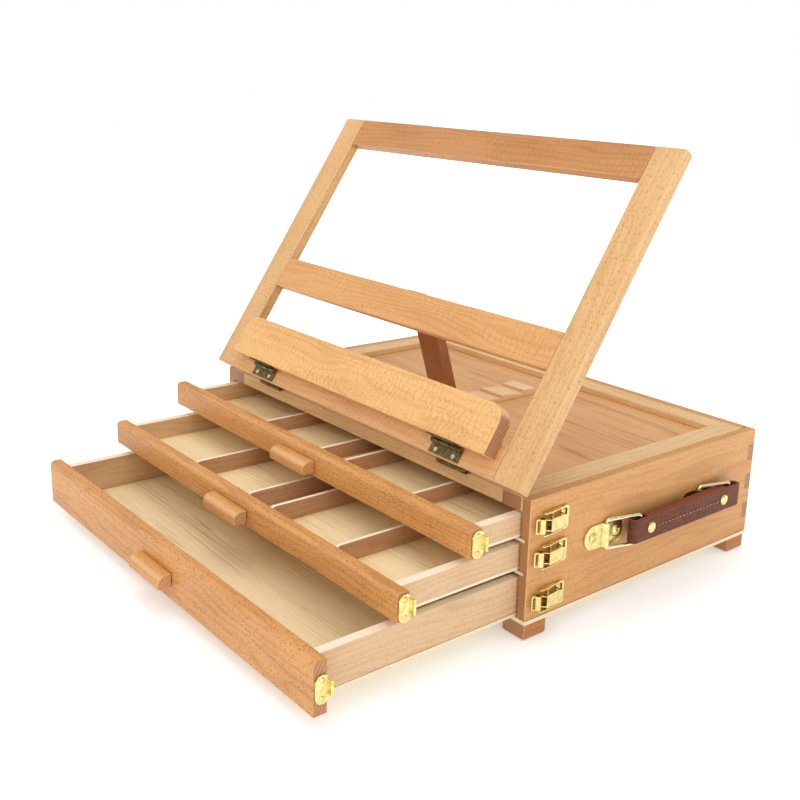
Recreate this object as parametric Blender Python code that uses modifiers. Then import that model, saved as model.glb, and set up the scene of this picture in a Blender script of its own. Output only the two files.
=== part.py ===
"""Table-top sketch box easel with three drawers.

A beech case holds three drawers under a shallow tray. A hinged frame with a fold-out ledge carries the
canvas, and leans on a prop whose toe stands over a toothed rack in the tray. Brass latches on the right
wall lock the drawers, and a leather handle beside them carries the closed box.

X runs across the width, Y from front to back and Z up, in metres. The case is laid out with its front
face on Y = 0, its underside on Z = 0 and its middle on X = 0. One empty then moves the whole easel so that
its origin is the middle of its footprint.
"""
import math

import bmesh
import bpy
from mathutils import Matrix, Vector

MM = 0.001

# Fits shared by all pieces
GAP = 0.3 * MM                    # between pieces that touch or are glued
EDGE = 0.7 * MM                   # eased edge of a board
CUT = 2.0 * MM                    # how far a cutter runs past what it cuts

# Case
CASE_WIDTH = 410.0 * MM
CASE_DEPTH = 265.6 * MM
CASE_HEIGHT = 94.3 * MM
WALL = 8.5 * MM
BASE = 3.0 * MM
FINGERS = 7                       # interlocking fingers of a back corner
GROOVE = 4.1 * MM                 # how deep a panel stands in its groove
RIM_HEIGHT = 11.3 * MM
SIDE_RIM = 19.6 * MM
BACK_RIM = 17.8 * MM
FRONT_RIM = 26.0 * MM
TRAY = 3.0 * MM
TRAY_RECESS = 5.8 * MM
SHELF = 2.3 * MM
UPPER_SHELF_TOP = 63.6 * MM
LOWER_SHELF_TOP = 38.8 * MM
FOOT_SIDE = 22.0 * MM
FOOT_HEIGHT = 12.0 * MM
FOOT_INSET = 0.8 * MM

# Toothed rack in the tray
RACK_WIDTH = 29.0 * MM
RACK_FRONT = 67.5 * MM            # from the case's front face
RACK_PITCH = 28.5 * MM
RACK_TEETH = 4
RACK_NOTCH = 3.0 * MM
RACK_TAIL = 14.5 * MM             # flat stretch behind the last tooth

# Easel frame, in its own axes: X across, Y up along the frame, Z out of its front face
REST_ANGLE = math.radians(56.6)
HINGE_FORWARD = 2.4 * MM          # hinge axis in front of the case's face
HINGE_ABOVE = 1.2 * MM            # hinge axis above the case's top
FRAME_LENGTH = 268.5 * MM
FRAME_THICK = 9.7 * MM
FRAME_BACK = 2.2 * MM             # from the hinge axis to the frame's back face
FRAME_FOOT = 1.0 * MM             # from the hinge axis to the frame's lower edge
STILE = 27.7 * MM
TOP_RAIL = 27.0 * MM
MIDDLE_RAIL = 29.4 * MM
MIDDLE_RAIL_LOW = 86.5 * MM
BOTTOM_RAIL = 26.5 * MM

# Ledge board, folded flat on the frame
LEDGE_LENGTH = 342.0 * MM
LEDGE_WIDTH = 37.0 * MM
LEDGE_THICK = 12.0 * MM
LEDGE_CORNER = 14.0 * MM
LEDGE_HINGE_UP = 10.5 * MM        # ledge hinge axis above the frame's lower edge

# Prop: a slat hinged above the middle rail
PROP_WIDTH = 26.5 * MM
PROP_THICK = 9.0 * MM
PROP_REACH = 107.0 * MM           # from the hinge axis to the toe
PROP_TOE_BEVEL = 9.0 * MM
PROP_FOLD = math.radians(129.4)   # from the open prop to the prop lying in the frame
PROP_HINGE_ABOVE = 1.6 * MM       # prop hinge axis above the middle rail's upper edge

# Butt hinges
LEAF = 1.0 * MM
HINGE_LENGTH = 32.0 * MM
HINGE_PLACE = 125.0 * MM          # hinges stand this far either side of the middle
PIN_RADIUS = 0.7 * MM
PIN_PLAY = 0.25 * MM
FRAME_KNUCKLE = 1.9 * MM
FRAME_LEAF_WIDTH = 14.0 * MM
LEDGE_KNUCKLE = 2.2 * MM
LEDGE_WOOD = 2.5 * MM             # from the ledge hinge's axis to the wood on either side
LEDGE_LEAF_WIDTH = 9.3 * MM
PROP_KNUCKLE = 1.7 * MM
PROP_WOOD = 1.2 * MM              # from the prop hinge's axis to the wood on either side
PROP_LEAF_WIDTH = 16.0 * MM
PROP_HINGE_LENGTH = 22.0 * MM

# Drawers
FRONT = 10.0 * MM
FRONT_ROUND = 3.5 * MM
DRAWER_SIDE = 7.5 * MM
DRAWER_BOTTOM = 2.5 * MM
DRAWER_DEPTH = 248.0 * MM
DRAWER_PLAY = 1.5 * MM            # between a drawer's side and the case's wall
DRAWER_LIFT = 0.4 * MM            # between a drawer and the panel it runs on
DIVIDER = 3.0 * MM
DIVIDER_LOW = 2.5 * MM            # dividers end this far below the drawer's sides
DIVIDER_PLACES = (-82.5 * MM, 1.0 * MM, 34.0 * MM, 118.0 * MM)
PULL_LENGTH = 48.0 * MM
PULL_DEPTH = 11.0 * MM
PULL_HEIGHT = 10.5 * MM
PULL_DROP = 2.0 * MM              # pull's middle below the front's middle
# name, how far it stands open, front's lower and upper edge, side's upper edge, panel under it, divided
DRAWERS = (
    ("top", 44.6 * MM, 66.3 * MM, 87.1 * MM, 81.4 * MM, UPPER_SHELF_TOP, True),
    ("middle", 104.4 * MM, 40.1 * MM, 60.2 * MM, 58.8 * MM, LOWER_SHELF_TOP, True),
    ("bottom", 166.1 * MM, -1.8 * MM, 35.6 * MM, 33.2 * MM, BASE, False),
)

# Catch on a drawer front and latch on the case, both on the right-hand end
BRASS = 1.0 * MM
CATCH_HEIGHT = 19.4 * MM
CATCH_FRONT = 9.3 * MM            # catch plate in front of the drawer front's back face
CATCH_BACK = 0.9 * MM
CATCH_CORNER = 4.9 * MM
CATCH_DROP = 0.8 * MM             # catch's middle below the front's middle
LIP_HEIGHT = 10.6 * MM
LIP_OUT = 3.6 * MM                # lip's curl out from the case's wall
LIP_CURL = 0.9 * MM
LATCH_HEIGHTS = (75.0 * MM, 50.3 * MM, 17.2 * MM)
LATCH_PLATE_FRONT = 19.5 * MM     # from the case's front face
LATCH_PLATE_BACK = 36.5 * MM
LATCH_HALF = 8.8 * MM
EAR = 1.2 * MM
EAR_FRONT = 10.5 * MM
EAR_HEIGHT = 4.4 * MM
LEVER_PIVOT = (13.0 * MM, 2.6 * MM)       # from the case's front face, and out from its wall
CLAW_PIVOT = (18.4 * MM, 4.4 * MM)
LATCH_PIN = 0.7 * MM
LEVER_START = 20.4 * MM
LEVER_END = 34.0 * MM
LEVER_POINT = 3.0 * MM            # lever's rear end narrows over this length
LEVER_EYE = 1.4 * MM              # flange round each pin
LATCH_WINDOW = 5.0 * MM           # half the square window in the latch's base
CLAW_HALF = 5.2 * MM
CLAW_CURL = (8.7 * MM, 3.4 * MM)
CLAW_CURL_RADIUS = 2.2 * MM
CLAW_TIP = 3.6 * MM

# Handle on the right-hand wall
HANDLE_HEIGHT = 49.8 * MM
HANDLE_PLACES = (78.0 * MM, 189.0 * MM)   # ring hinges, from the case's front face
PLATE_HALF = 9.3 * MM
PLATE_FRONT = 22.0 * MM           # plate in front of its ring hinge
PLATE_BACK = 19.0 * MM
PLATE = 1.2 * MM
WIRE = 1.4 * MM                   # radius of the ring's wire
RING_OUT = 2.0 * MM               # ring hinge out from the wall
RING_LENGTH = 30.4 * MM
RING_HALF = 11.2 * MM
RING_CORNER = 1.8 * MM
RING_ANGLE = math.radians(15.6)   # how far the rings stand off the wall
STRAP_THICK = 8.5 * MM
STRAP_HALF = 9.3 * MM
STRAP_LOOP = 11.4 * MM            # strap past the ring's far bar, at each end
STRAP_EYE_IN = 5.6 * MM           # loop's opening on the inner side of the bar
LEATHER = 2.45 * MM

# Derived places
HALF = CASE_WIDTH / 2
INNER = HALF - WALL
RIM_LOW = CASE_HEIGHT - RIM_HEIGHT
TRAY_TOP = CASE_HEIGHT - TRAY_RECESS
TRAY_HALF = INNER - GAP - SIDE_RIM
BACK_RIM_FRONT = CASE_DEPTH - WALL - GAP - BACK_RIM
FRAME_FRONT = FRAME_BACK + FRAME_THICK
FRAME_TOP = FRAME_FOOT + FRAME_LENGTH
STILE_INNER = HALF - STILE
LEDGE_AXIS = (FRAME_FOOT + LEDGE_HINGE_UP, FRAME_FRONT + LEDGE_WOOD)
PROP_AXIS = (FRAME_FOOT + MIDDLE_RAIL_LOW + MIDDLE_RAIL + PROP_HINGE_ABOVE, FRAME_BACK - PROP_WOOD)
RING_FAR = (RING_LENGTH * math.cos(RING_ANGLE), RING_OUT + RING_LENGTH * math.sin(RING_ANGLE))
PULL_FRONT = max(opening for _, opening, *_ in DRAWERS) + FRONT + GAP + PULL_DEPTH
ORIGIN = Vector((
    -(RING_FAR[1] + STRAP_THICK / 2) / 2,
    (PULL_FRONT - CASE_DEPTH) / 2,
    FOOT_HEIGHT,
))

ALONG_X = (math.pi / 2, 0.0, math.pi / 2)       # an outline in Y and Z, extruded along X
UPRIGHT = (0.0, 0.0, 0.0)                       # an outline in X and Y, extruded along Z


# ---------------------------------------------------------------- scene and helpers
for old in list(bpy.data.objects):
    bpy.data.objects.remove(old, do_unlink=True)

PARTS = bpy.data.collections.new("box_easel")
CUTTERS = bpy.data.collections.new("cutters")
bpy.context.scene.collection.children.link(PARTS)
bpy.context.scene.collection.children.link(CUTTERS)


def finish(name, colour, roughness, metallic=0.0):
    """A material with one Principled shader."""
    material = bpy.data.materials.new(name)
    material.use_nodes = True
    shader = material.node_tree.nodes["Principled BSDF"]
    shader.inputs["Base Color"].default_value = (*colour, 1.0)
    shader.inputs["Roughness"].default_value = roughness
    shader.inputs["Metallic"].default_value = metallic
    material.diffuse_color = (*colour, 1.0)
    return material


PALE_BEECH = finish("pale_beech", (0.83, 0.57, 0.30), 0.45)
TAN_BEECH = finish("tan_beech", (0.64, 0.36, 0.17), 0.42)
INNER_BEECH = finish("inner_beech", (0.79, 0.58, 0.38), 0.55)
PLYWOOD = finish("plywood", (0.82, 0.64, 0.36), 0.6)
BRASS_BRIGHT = finish("bright_brass", (0.85, 0.64, 0.26), 0.22, 1.0)
BRASS_DARK = finish("antique_brass", (0.30, 0.26, 0.16), 0.38, 1.0)
RING_WIRE = finish("ring_wire", (0.88, 0.74, 0.42), 0.2, 1.0)
STRAP_LEATHER = finish("strap_leather", (0.16, 0.06, 0.04), 0.5)


def empty(name, parent=None, place=(0.0, 0.0, 0.0), turn=(0.0, 0.0, 0.0)):
    """An empty that carries the pieces of one body."""
    holder = bpy.data.objects.new(name, None)
    PARTS.objects.link(holder)
    holder.parent = parent
    holder.location = place
    holder.rotation_euler = turn
    return holder


def add(name, mesh, material, parent, place, turn):
    """Link a mesh as a named piece, or as a cutter when it has no material."""
    piece = bpy.data.objects.new(name, mesh)
    if material is None:
        CUTTERS.objects.link(piece)
        piece.hide_render = True
        piece.display_type = "WIRE"
    else:
        PARTS.objects.link(piece)
        mesh.materials.append(material)
    piece.parent = parent
    piece.location = place
    piece.rotation_euler = turn
    return piece


def ease(piece, width, segments=1):
    """Bevel every sharp edge of a board."""
    bevel = piece.modifiers.new("eased_edges", "BEVEL")
    bevel.width = width
    bevel.segments = segments
    bevel.limit_method = "ANGLE"
    return piece


def block(name, low, high, material, parent, edge=0.0):
    """A square-cut board between two corners."""
    size = Vector(high) - Vector(low)
    middle = (Vector(high) + Vector(low)) / 2
    mesh = bpy.data.meshes.new(name)
    bm = bmesh.new()
    bmesh.ops.create_cube(bm, size=1.0, matrix=Matrix.Diagonal((*size, 1.0)))
    bm.to_mesh(mesh)
    bm.free()
    piece = add(name, mesh, material, parent, middle, UPRIGHT)
    return ease(piece, edge) if edge else piece


def blocks(name, boxes, parent):
    """One cutter made of several separate boxes."""
    mesh = bpy.data.meshes.new(name)
    bm = bmesh.new()
    for low, high in boxes:
        size = Vector(high) - Vector(low)
        middle = (Vector(high) + Vector(low)) / 2
        place = Matrix.Translation(middle) @ Matrix.Diagonal((*size, 1.0))
        bmesh.ops.create_cube(bm, size=1.0, matrix=place)
    bm.to_mesh(mesh)
    bm.free()
    return add(name, mesh, None, parent, (0.0, 0.0, 0.0), UPRIGHT)


def rod(name, middle, length, radius, material, parent, turn=UPRIGHT, sides=16):
    """A round bar along Z before it is turned."""
    mesh = bpy.data.meshes.new(name)
    bm = bmesh.new()
    bmesh.ops.create_cone(bm, cap_ends=True, segments=sides, radius1=radius, radius2=radius, depth=length)
    bm.to_mesh(mesh)
    bm.free()
    mesh.shade_smooth()
    mesh.set_sharp_from_angle(angle=math.radians(40))
    return add(name, mesh, material, parent, middle, turn)


def arc(centre, radius, start, end, steps):
    """Points along a circle between two angles in degrees."""
    angles = [math.radians(start + (end - start) * i / steps) for i in range(steps + 1)]
    return [(centre[0] + radius * math.cos(a), centre[1] + radius * math.sin(a)) for a in angles]


def rounded(corners, steps=4):
    """An outline whose corners, given as (u, v, radius), are arcs."""
    outline = []
    count = len(corners)
    for i, (u, v, radius) in enumerate(corners):
        corner = Vector((u, v))
        if radius == 0.0:
            outline.append((u, v))
            continue
        before = (Vector(corners[i - 1][:2]) - corner).normalized()
        after = (Vector(corners[(i + 1) % count][:2]) - corner).normalized()
        half_angle = before.angle(after) / 2
        centre = corner + (before + after).normalized() * (radius / math.sin(half_angle))
        first = corner + before * (radius / math.tan(half_angle)) - centre
        last = corner + after * (radius / math.tan(half_angle)) - centre
        sweep = first.angle_signed(last)
        for step in range(steps + 1):
            point = centre + Matrix.Rotation(-sweep * step / steps, 2) @ first
            outline.append((point.x, point.y))
    return outline


def extruded(name, outlines, thickness, material, parent, place, turn=UPRIGHT):
    """A flat outline, with any further outlines as holes, extruded evenly about its plane."""
    curve = bpy.data.curves.new(name + "_outline", "CURVE")
    curve.dimensions = "2D"
    curve.fill_mode = "BOTH"
    curve.extrude = thickness / 2
    for outline in outlines:
        spline = curve.splines.new("POLY")
        spline.points.add(len(outline) - 1)
        for point, (u, v) in zip(spline.points, outline):
            point.co = (u, v, 0.0, 1.0)
        spline.use_cyclic_u = True
    return solid_from_curve(name, curve, material, parent, place, turn)


def solid_from_curve(name, curve, material, parent, place, turn):
    """Turn a curve into a welded mesh piece."""
    guide = bpy.data.objects.new(curve.name, curve)
    PARTS.objects.link(guide)
    graph = bpy.context.evaluated_depsgraph_get()
    mesh = bpy.data.meshes.new_from_object(guide.evaluated_get(graph))
    bpy.data.objects.remove(guide, do_unlink=True)
    bm = bmesh.new()
    bm.from_mesh(mesh)
    bmesh.ops.remove_doubles(bm, verts=bm.verts, dist=1e-6)
    bmesh.ops.recalc_face_normals(bm, faces=bm.faces)
    bm.to_mesh(mesh)
    bm.free()
    mesh.name = name
    return add(name, mesh, material, parent, place, turn)


def boolean(piece, other, operation):
    """Cut, join or intersect a piece with a hidden one."""
    modifier = piece.modifiers.new(operation.lower() + "_" + other.name, "BOOLEAN")
    modifier.operation = operation
    modifier.object = other
    return piece


def cut(piece, *cutters):
    for cutter in cutters:
        boolean(piece, cutter, "DIFFERENCE")
    return piece


def join(piece, *others):
    for other in others:
        boolean(piece, other, "UNION")
    return piece


# ---------------------------------------------------------------- case
def finger_range(index):
    """Lower and upper edge of one corner finger."""
    foot = BASE + GAP
    step = (CASE_HEIGHT - foot) / FINGERS
    return foot + step * index, foot + step * (index + 1)


def make_case(case):
    """Four walls, rim, tray, shelves, base and feet."""
    for side, sign in (("left", -1), ("right", 1)):
        ends = sorted((sign * INNER, sign * HALF))
        wall = block(side + "_side", (ends[0], 0.0, BASE + GAP), (ends[1], CASE_DEPTH, CASE_HEIGHT),
                     TAN_BEECH, case, EDGE)
        grooves = []
        for top in (UPPER_SHELF_TOP, LOWER_SHELF_TOP):
            depth = sorted((sign * (INNER - CUT), sign * (INNER + GROOVE + GAP)))
            grooves.append(((depth[0], -CUT, top - SHELF - GAP),
                            (depth[1], CASE_DEPTH - WALL - GAP, top + GAP)))
        cut(wall, blocks(side + "_shelf_grooves", grooves, case))
        notches = []
        for index in range(1, FINGERS, 2):
            low, high = finger_range(index)
            notches.append(((ends[0] - CUT, CASE_DEPTH - WALL - GAP / 2, low - GAP / 2),
                            (ends[1] + CUT, CASE_DEPTH + CUT, high + GAP / 2)))
        cut(wall, blocks(side + "_corner_notches", notches, case))
        rim_ends = sorted((sign * TRAY_HALF, sign * (INNER - GAP)))
        rim = block(side + "_rim_rail", (rim_ends[0], 0.0, RIM_LOW),
                    (rim_ends[1], CASE_DEPTH - WALL - GAP, CASE_HEIGHT), TAN_BEECH, case, EDGE)
        cut(rim, tray_groove(side, case))

    back = block("back_wall", (-HALF, CASE_DEPTH - WALL, BASE + GAP), (HALF, CASE_DEPTH, CASE_HEIGHT),
                 TAN_BEECH, case, EDGE)
    notches = []
    for index in range(0, FINGERS, 2):
        low, high = finger_range(index)
        for end in (-1, 1):
            span = sorted((end * (INNER - GAP / 2), end * (HALF + CUT)))
            notches.append(((span[0], CASE_DEPTH - WALL - CUT, low - GAP / 2 - (CUT if index == 0 else 0.0)),
                            (span[1], CASE_DEPTH + CUT, high + GAP / 2 + (CUT if index == FINGERS - 1 else 0.0))))
    cut(back, blocks("back_corner_notches", notches, case))

    rail_half = TRAY_HALF - GAP
    front_rail = block("front_rim_rail", (-rail_half, 0.0, RIM_LOW), (rail_half, FRONT_RIM, CASE_HEIGHT),
                       TAN_BEECH, case, EDGE)
    cut(front_rail, tray_groove("front", case))
    back_rail = block("back_rim_rail", (-rail_half, BACK_RIM_FRONT, RIM_LOW),
                      (rail_half, BACK_RIM_FRONT + BACK_RIM, CASE_HEIGHT), TAN_BEECH, case, EDGE)
    cut(back_rail, tray_groove("back", case))

    block("tray_panel", (-TRAY_HALF - GROOVE, FRONT_RIM - GROOVE, TRAY_TOP - TRAY),
          (TRAY_HALF + GROOVE, BACK_RIM_FRONT + GROOVE, TRAY_TOP), PLYWOOD, case)
    for name, top in (("upper_shelf", UPPER_SHELF_TOP), ("lower_shelf", LOWER_SHELF_TOP)):
        block(name, (-INNER - GROOVE, 0.0, top - SHELF),
              (INNER + GROOVE, CASE_DEPTH - WALL - 2 * GAP, top), PLYWOOD, case)
    block("base_panel", (-HALF, 0.0, 0.0), (HALF, CASE_DEPTH, BASE), PLYWOOD, case)

    for side, sign in (("left", -1), ("right", 1)):
        x = sorted((sign * (HALF - FOOT_INSET), sign * (HALF - FOOT_INSET - FOOT_SIDE)))
        near = FOOT_INSET
        far = CASE_DEPTH - FOOT_INSET - FOOT_SIDE
        for row, y in (("front", near), ("back", far)):
            block(f"{row}_{side}_foot", (x[0], y, -FOOT_HEIGHT), (x[1], y + FOOT_SIDE, -GAP),
                  TAN_BEECH, case, EDGE)


def tray_groove(name, case):
    """The slot that the tray panel's edges stand in."""
    reach = GROOVE + GAP
    return block(name + "_tray_groove", (-TRAY_HALF - reach, FRONT_RIM - reach, TRAY_TOP - TRAY - GAP),
                 (TRAY_HALF + reach, BACK_RIM_FRONT + reach, TRAY_TOP + GAP), None, case)


def make_rack(case):
    """Sawtooth strip: steep faces to the front, slopes falling to the back."""
    height = TRAY_RECESS - GAP
    outline = [(0.0, 0.0), (0.0, height)]
    for tooth in range(1, RACK_TEETH + 1):
        outline.append((tooth * RACK_PITCH, height - RACK_NOTCH))
        outline.append((tooth * RACK_PITCH, height))
    length = RACK_TEETH * RACK_PITCH + RACK_TAIL
    outline += [(length, height), (length, 0.0)]
    extruded("prop_rack", [outline], RACK_WIDTH, PALE_BEECH, case,
             (0.0, RACK_FRONT, TRAY_TOP + GAP), ALONG_X)


# ---------------------------------------------------------------- hinges
def butt_hinge(name, length, knuckle, fixed, moving, metal):
    """A butt hinge along X. Each leaf is (parent, place, turn, wood distance, width).

    In a leaf's own axes the pin lies on X, the leaf runs along +Y and the wood is below it. The fixed leaf
    has the two outer knuckles and the pin, and the moving leaf has the middle knuckle.
    """
    third = length / 3
    outer = (length - third) / 2
    spans = {
        "fixed": ((-length / 2, -third / 2), (third / 2, length / 2)),
        "moving": ((-third / 2 + GAP, third / 2 - GAP),),
    }
    across = (0.0, math.pi / 2, 0.0)
    for kind, (parent, place, turn, wood, width) in (("fixed", fixed), ("moving", moving)):
        holder = empty(f"{name}_{kind}_seat", parent, place, turn)
        seat = GAP - wood
        start = knuckle + 2 * GAP
        leaf = block(f"{name}_{kind}_leaf", (-length / 2, start, seat), (length / 2, width, seat + LEAF),
                     metal, holder)
        for number, (low, high) in enumerate(spans[kind]):
            tab = block(f"{name}_{kind}_tab_{number}", (low, 0.0, seat + LEAF * 0.1),
                        (high, start + LEAF, seat + LEAF * 0.9), None, holder)
            barrel = rod(f"{name}_{kind}_knuckle_{number}", ((low + high) / 2, 0.0, 0.0), high - low, knuckle,
                         None, holder, across)
            join(leaf, tab, barrel)
        if kind == "fixed":
            join(leaf, rod(f"{name}_pin", (0.0, 0.0, 0.0), length - outer, PIN_RADIUS, None, holder, across, 12))
        else:
            cut(leaf, rod(f"{name}_bore", (0.0, 0.0, 0.0), third + CUT, PIN_RADIUS + PIN_PLAY, None, holder,
                          across, 12))


# ---------------------------------------------------------------- easel frame, ledge and prop
def make_frame(frame):
    """Two stiles with three rails butted between them."""
    for side, sign in (("left", -1), ("right", 1)):
        x = sorted((sign * STILE_INNER, sign * HALF))
        block(side + "_stile", (x[0], FRAME_FOOT, FRAME_BACK), (x[1], FRAME_TOP, FRAME_FRONT),
              PALE_BEECH, frame, EDGE)
    rails = (
        ("bottom_rail", FRAME_FOOT, BOTTOM_RAIL),
        ("middle_rail", FRAME_FOOT + MIDDLE_RAIL_LOW, MIDDLE_RAIL),
        ("top_rail", FRAME_TOP - TOP_RAIL, TOP_RAIL),
    )
    for name, low, width in rails:
        block(name, (-STILE_INNER + GAP, low, FRAME_BACK), (STILE_INNER - GAP, low + width, FRAME_FRONT),
              TAN_BEECH, frame, EDGE)


def make_ledge(frame):
    """The board that folds out to carry a canvas, with its two hinges."""
    ledge = empty("ledge_axis", frame, (0.0, *LEDGE_AXIS))
    half = LEDGE_LENGTH / 2
    lower = LEDGE_WOOD
    upper = LEDGE_WOOD + LEDGE_WIDTH
    outline = rounded([
        (-half, lower, 1.0 * MM), (half, lower, 1.0 * MM),
        (half, upper, LEDGE_CORNER), (-half, upper, LEDGE_CORNER),
    ], 6)
    back = GAP - LEDGE_WOOD
    board = extruded("ledge_board", [outline], LEDGE_THICK, TAN_BEECH, ledge,
                     (0.0, 0.0, back + LEDGE_THICK / 2))
    ease(board, EDGE)
    for side, sign in (("left", -1), ("right", 1)):
        x = sign * HINGE_PLACE
        butt_hinge(side + "_ledge_hinge", HINGE_LENGTH, LEDGE_KNUCKLE,
                   (frame, (x, *LEDGE_AXIS), (0.0, 0.0, math.pi), LEDGE_WOOD, LEDGE_LEAF_WIDTH),
                   (ledge, (x, 0.0, 0.0), (math.pi / 2, 0.0, 0.0), LEDGE_WOOD, LEDGE_LEAF_WIDTH),
                   BRASS_DARK)


def make_prop(frame):
    """The slat that holds the frame up. Unturned, it lies in the frame's upper opening."""
    prop = empty("prop_axis", frame, (0.0, *PROP_AXIS), (-PROP_FOLD, 0.0, 0.0))
    top = PROP_KNUCKLE + 2 * GAP
    near = PROP_WOOD
    far = PROP_WOOD + PROP_THICK
    outline = rounded([
        (top, near, 0.0), (PROP_REACH - PROP_TOE_BEVEL, near, 0.0),
        (PROP_REACH, far, 0.8 * MM), (top, far, PROP_THICK * 0.75),
    ])
    slat = extruded("prop_slat", [outline], PROP_WIDTH, TAN_BEECH, prop, (0.0, 0.0, 0.0), ALONG_X)
    ease(slat, EDGE)
    butt_hinge("prop_hinge", PROP_HINGE_LENGTH, PROP_KNUCKLE,
               (frame, (0.0, *PROP_AXIS), (math.pi, 0.0, 0.0), PROP_WOOD, PROP_LEAF_WIDTH),
               (prop, (0.0, 0.0, 0.0), (0.0, math.pi, 0.0), PROP_WOOD, PROP_LEAF_WIDTH),
               BRASS_DARK)


def make_frame_hinges(case, frame):
    """Two butt hinges between the case's front rim and the frame's bottom rail."""
    for side, sign in (("left", -1), ("right", 1)):
        x = sign * HINGE_PLACE
        butt_hinge(side + "_frame_hinge", HINGE_LENGTH, FRAME_KNUCKLE,
                   (case, (x, -HINGE_FORWARD, CASE_HEIGHT + HINGE_ABOVE), UPRIGHT, HINGE_ABOVE,
                    FRAME_LEAF_WIDTH),
                   (frame, (x, 0.0, 0.0), (0.0, math.pi, 0.0), FRAME_BACK, FRAME_LEAF_WIDTH),
                   BRASS_DARK)


# ---------------------------------------------------------------- drawers
def make_drawer(root, name, opening, low, high, side_top, floor, divided):
    """Overlay front, pull and catch, and a box of sides, back and thin bottom.

    A drawer's own axes have Y = 0 on the back face of its front, so the shut drawer stands at Y = 0.
    """
    drawer = empty(name + "_drawer_axis", root, (0.0, -opening, 0.0))
    outline = rounded([
        (-FRONT, low, EDGE), (0.0, low, 0.0), (0.0, high, 1.5 * MM), (-FRONT, high, FRONT_ROUND),
    ])
    extruded(name + "_drawer_front", [outline], CASE_WIDTH, TAN_BEECH, drawer, (0.0, 0.0, 0.0), ALONG_X)

    middle = (low + high) / 2 - PULL_DROP
    half = PULL_HEIGHT / 2
    pull_outline = rounded([
        (-PULL_DEPTH, -half, 1.5 * MM), (0.0, -half, 0.0), (0.0, half, 0.0), (-PULL_DEPTH, half, PULL_HEIGHT * 0.6),
    ])
    pull = extruded(name + "_drawer_pull", [pull_outline], PULL_LENGTH, TAN_BEECH, drawer,
                    (0.0, -FRONT - GAP, middle), ALONG_X)
    ease(pull, EDGE)

    outer = INNER - DRAWER_PLAY
    bottom = floor + DRAWER_LIFT
    sides_low = bottom + DRAWER_BOTTOM
    back = GAP + DRAWER_DEPTH
    box = block(name + "_drawer_box", (-outer, GAP, sides_low), (outer, back, side_top), INNER_BEECH, drawer)
    hollow = block(name + "_drawer_hollow", (DRAWER_SIDE - outer, -CUT, sides_low - CUT),
                   (outer - DRAWER_SIDE, back - DRAWER_SIDE, side_top + CUT), None, drawer)
    cut(box, hollow)
    if divided:
        for number, x in enumerate(DIVIDER_PLACES):
            top = side_top - DIVIDER_LOW
            slat = rounded([
                (2 * GAP, sides_low + GAP, 0.0), (back - DRAWER_SIDE / 2, sides_low + GAP, 0.0),
                (back - DRAWER_SIDE / 2, top, 0.0), (2 * GAP, top, 3.0 * MM),
            ])
            join(box, extruded(f"{name}_divider_{number}", [slat], DIVIDER, None, drawer, (x, 0.0, 0.0), ALONG_X))
        floor_board = block(name + "_drawer_floor", (-outer, GAP, bottom), (outer, back, sides_low + GAP * 2),
                            None, drawer)
        join(box, floor_board)
    else:
        block(name + "_drawer_bottom", (-outer, GAP, bottom), (outer, back, sides_low - GAP), PLYWOOD, drawer)
    make_catch(drawer, name, (low + high) / 2 - CATCH_DROP)


def make_catch(drawer, name, middle):
    """Oblong brass plate on the front's right end, whose back edge stands up as a lip with a curled rim."""
    half = CATCH_HEIGHT / 2
    plate = extruded(name + "_catch", [rounded([
        (-CATCH_FRONT, middle - half, CATCH_CORNER), (CATCH_BACK, middle - half, CATCH_CORNER),
        (CATCH_BACK, middle + half, CATCH_CORNER), (-CATCH_FRONT, middle + half, CATCH_CORNER),
    ], 6)], BRASS, BRASS_BRIGHT, drawer, (HALF + GAP + BRASS / 2, 0.0, 0.0), ALONG_X)
    lip_half = LIP_HEIGHT / 2
    lip = block(name + "_lip", (HALF + GAP + BRASS * 0.1, CATCH_BACK - BRASS * 0.9, middle - lip_half),
                (HALF + LIP_OUT, CATCH_BACK - BRASS * 0.1, middle + lip_half), None, drawer)
    curl = rod(name + "_lip_curl", (HALF + LIP_OUT, CATCH_BACK, middle), LIP_HEIGHT, LIP_CURL, None, drawer)
    join(plate, lip, curl)


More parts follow.
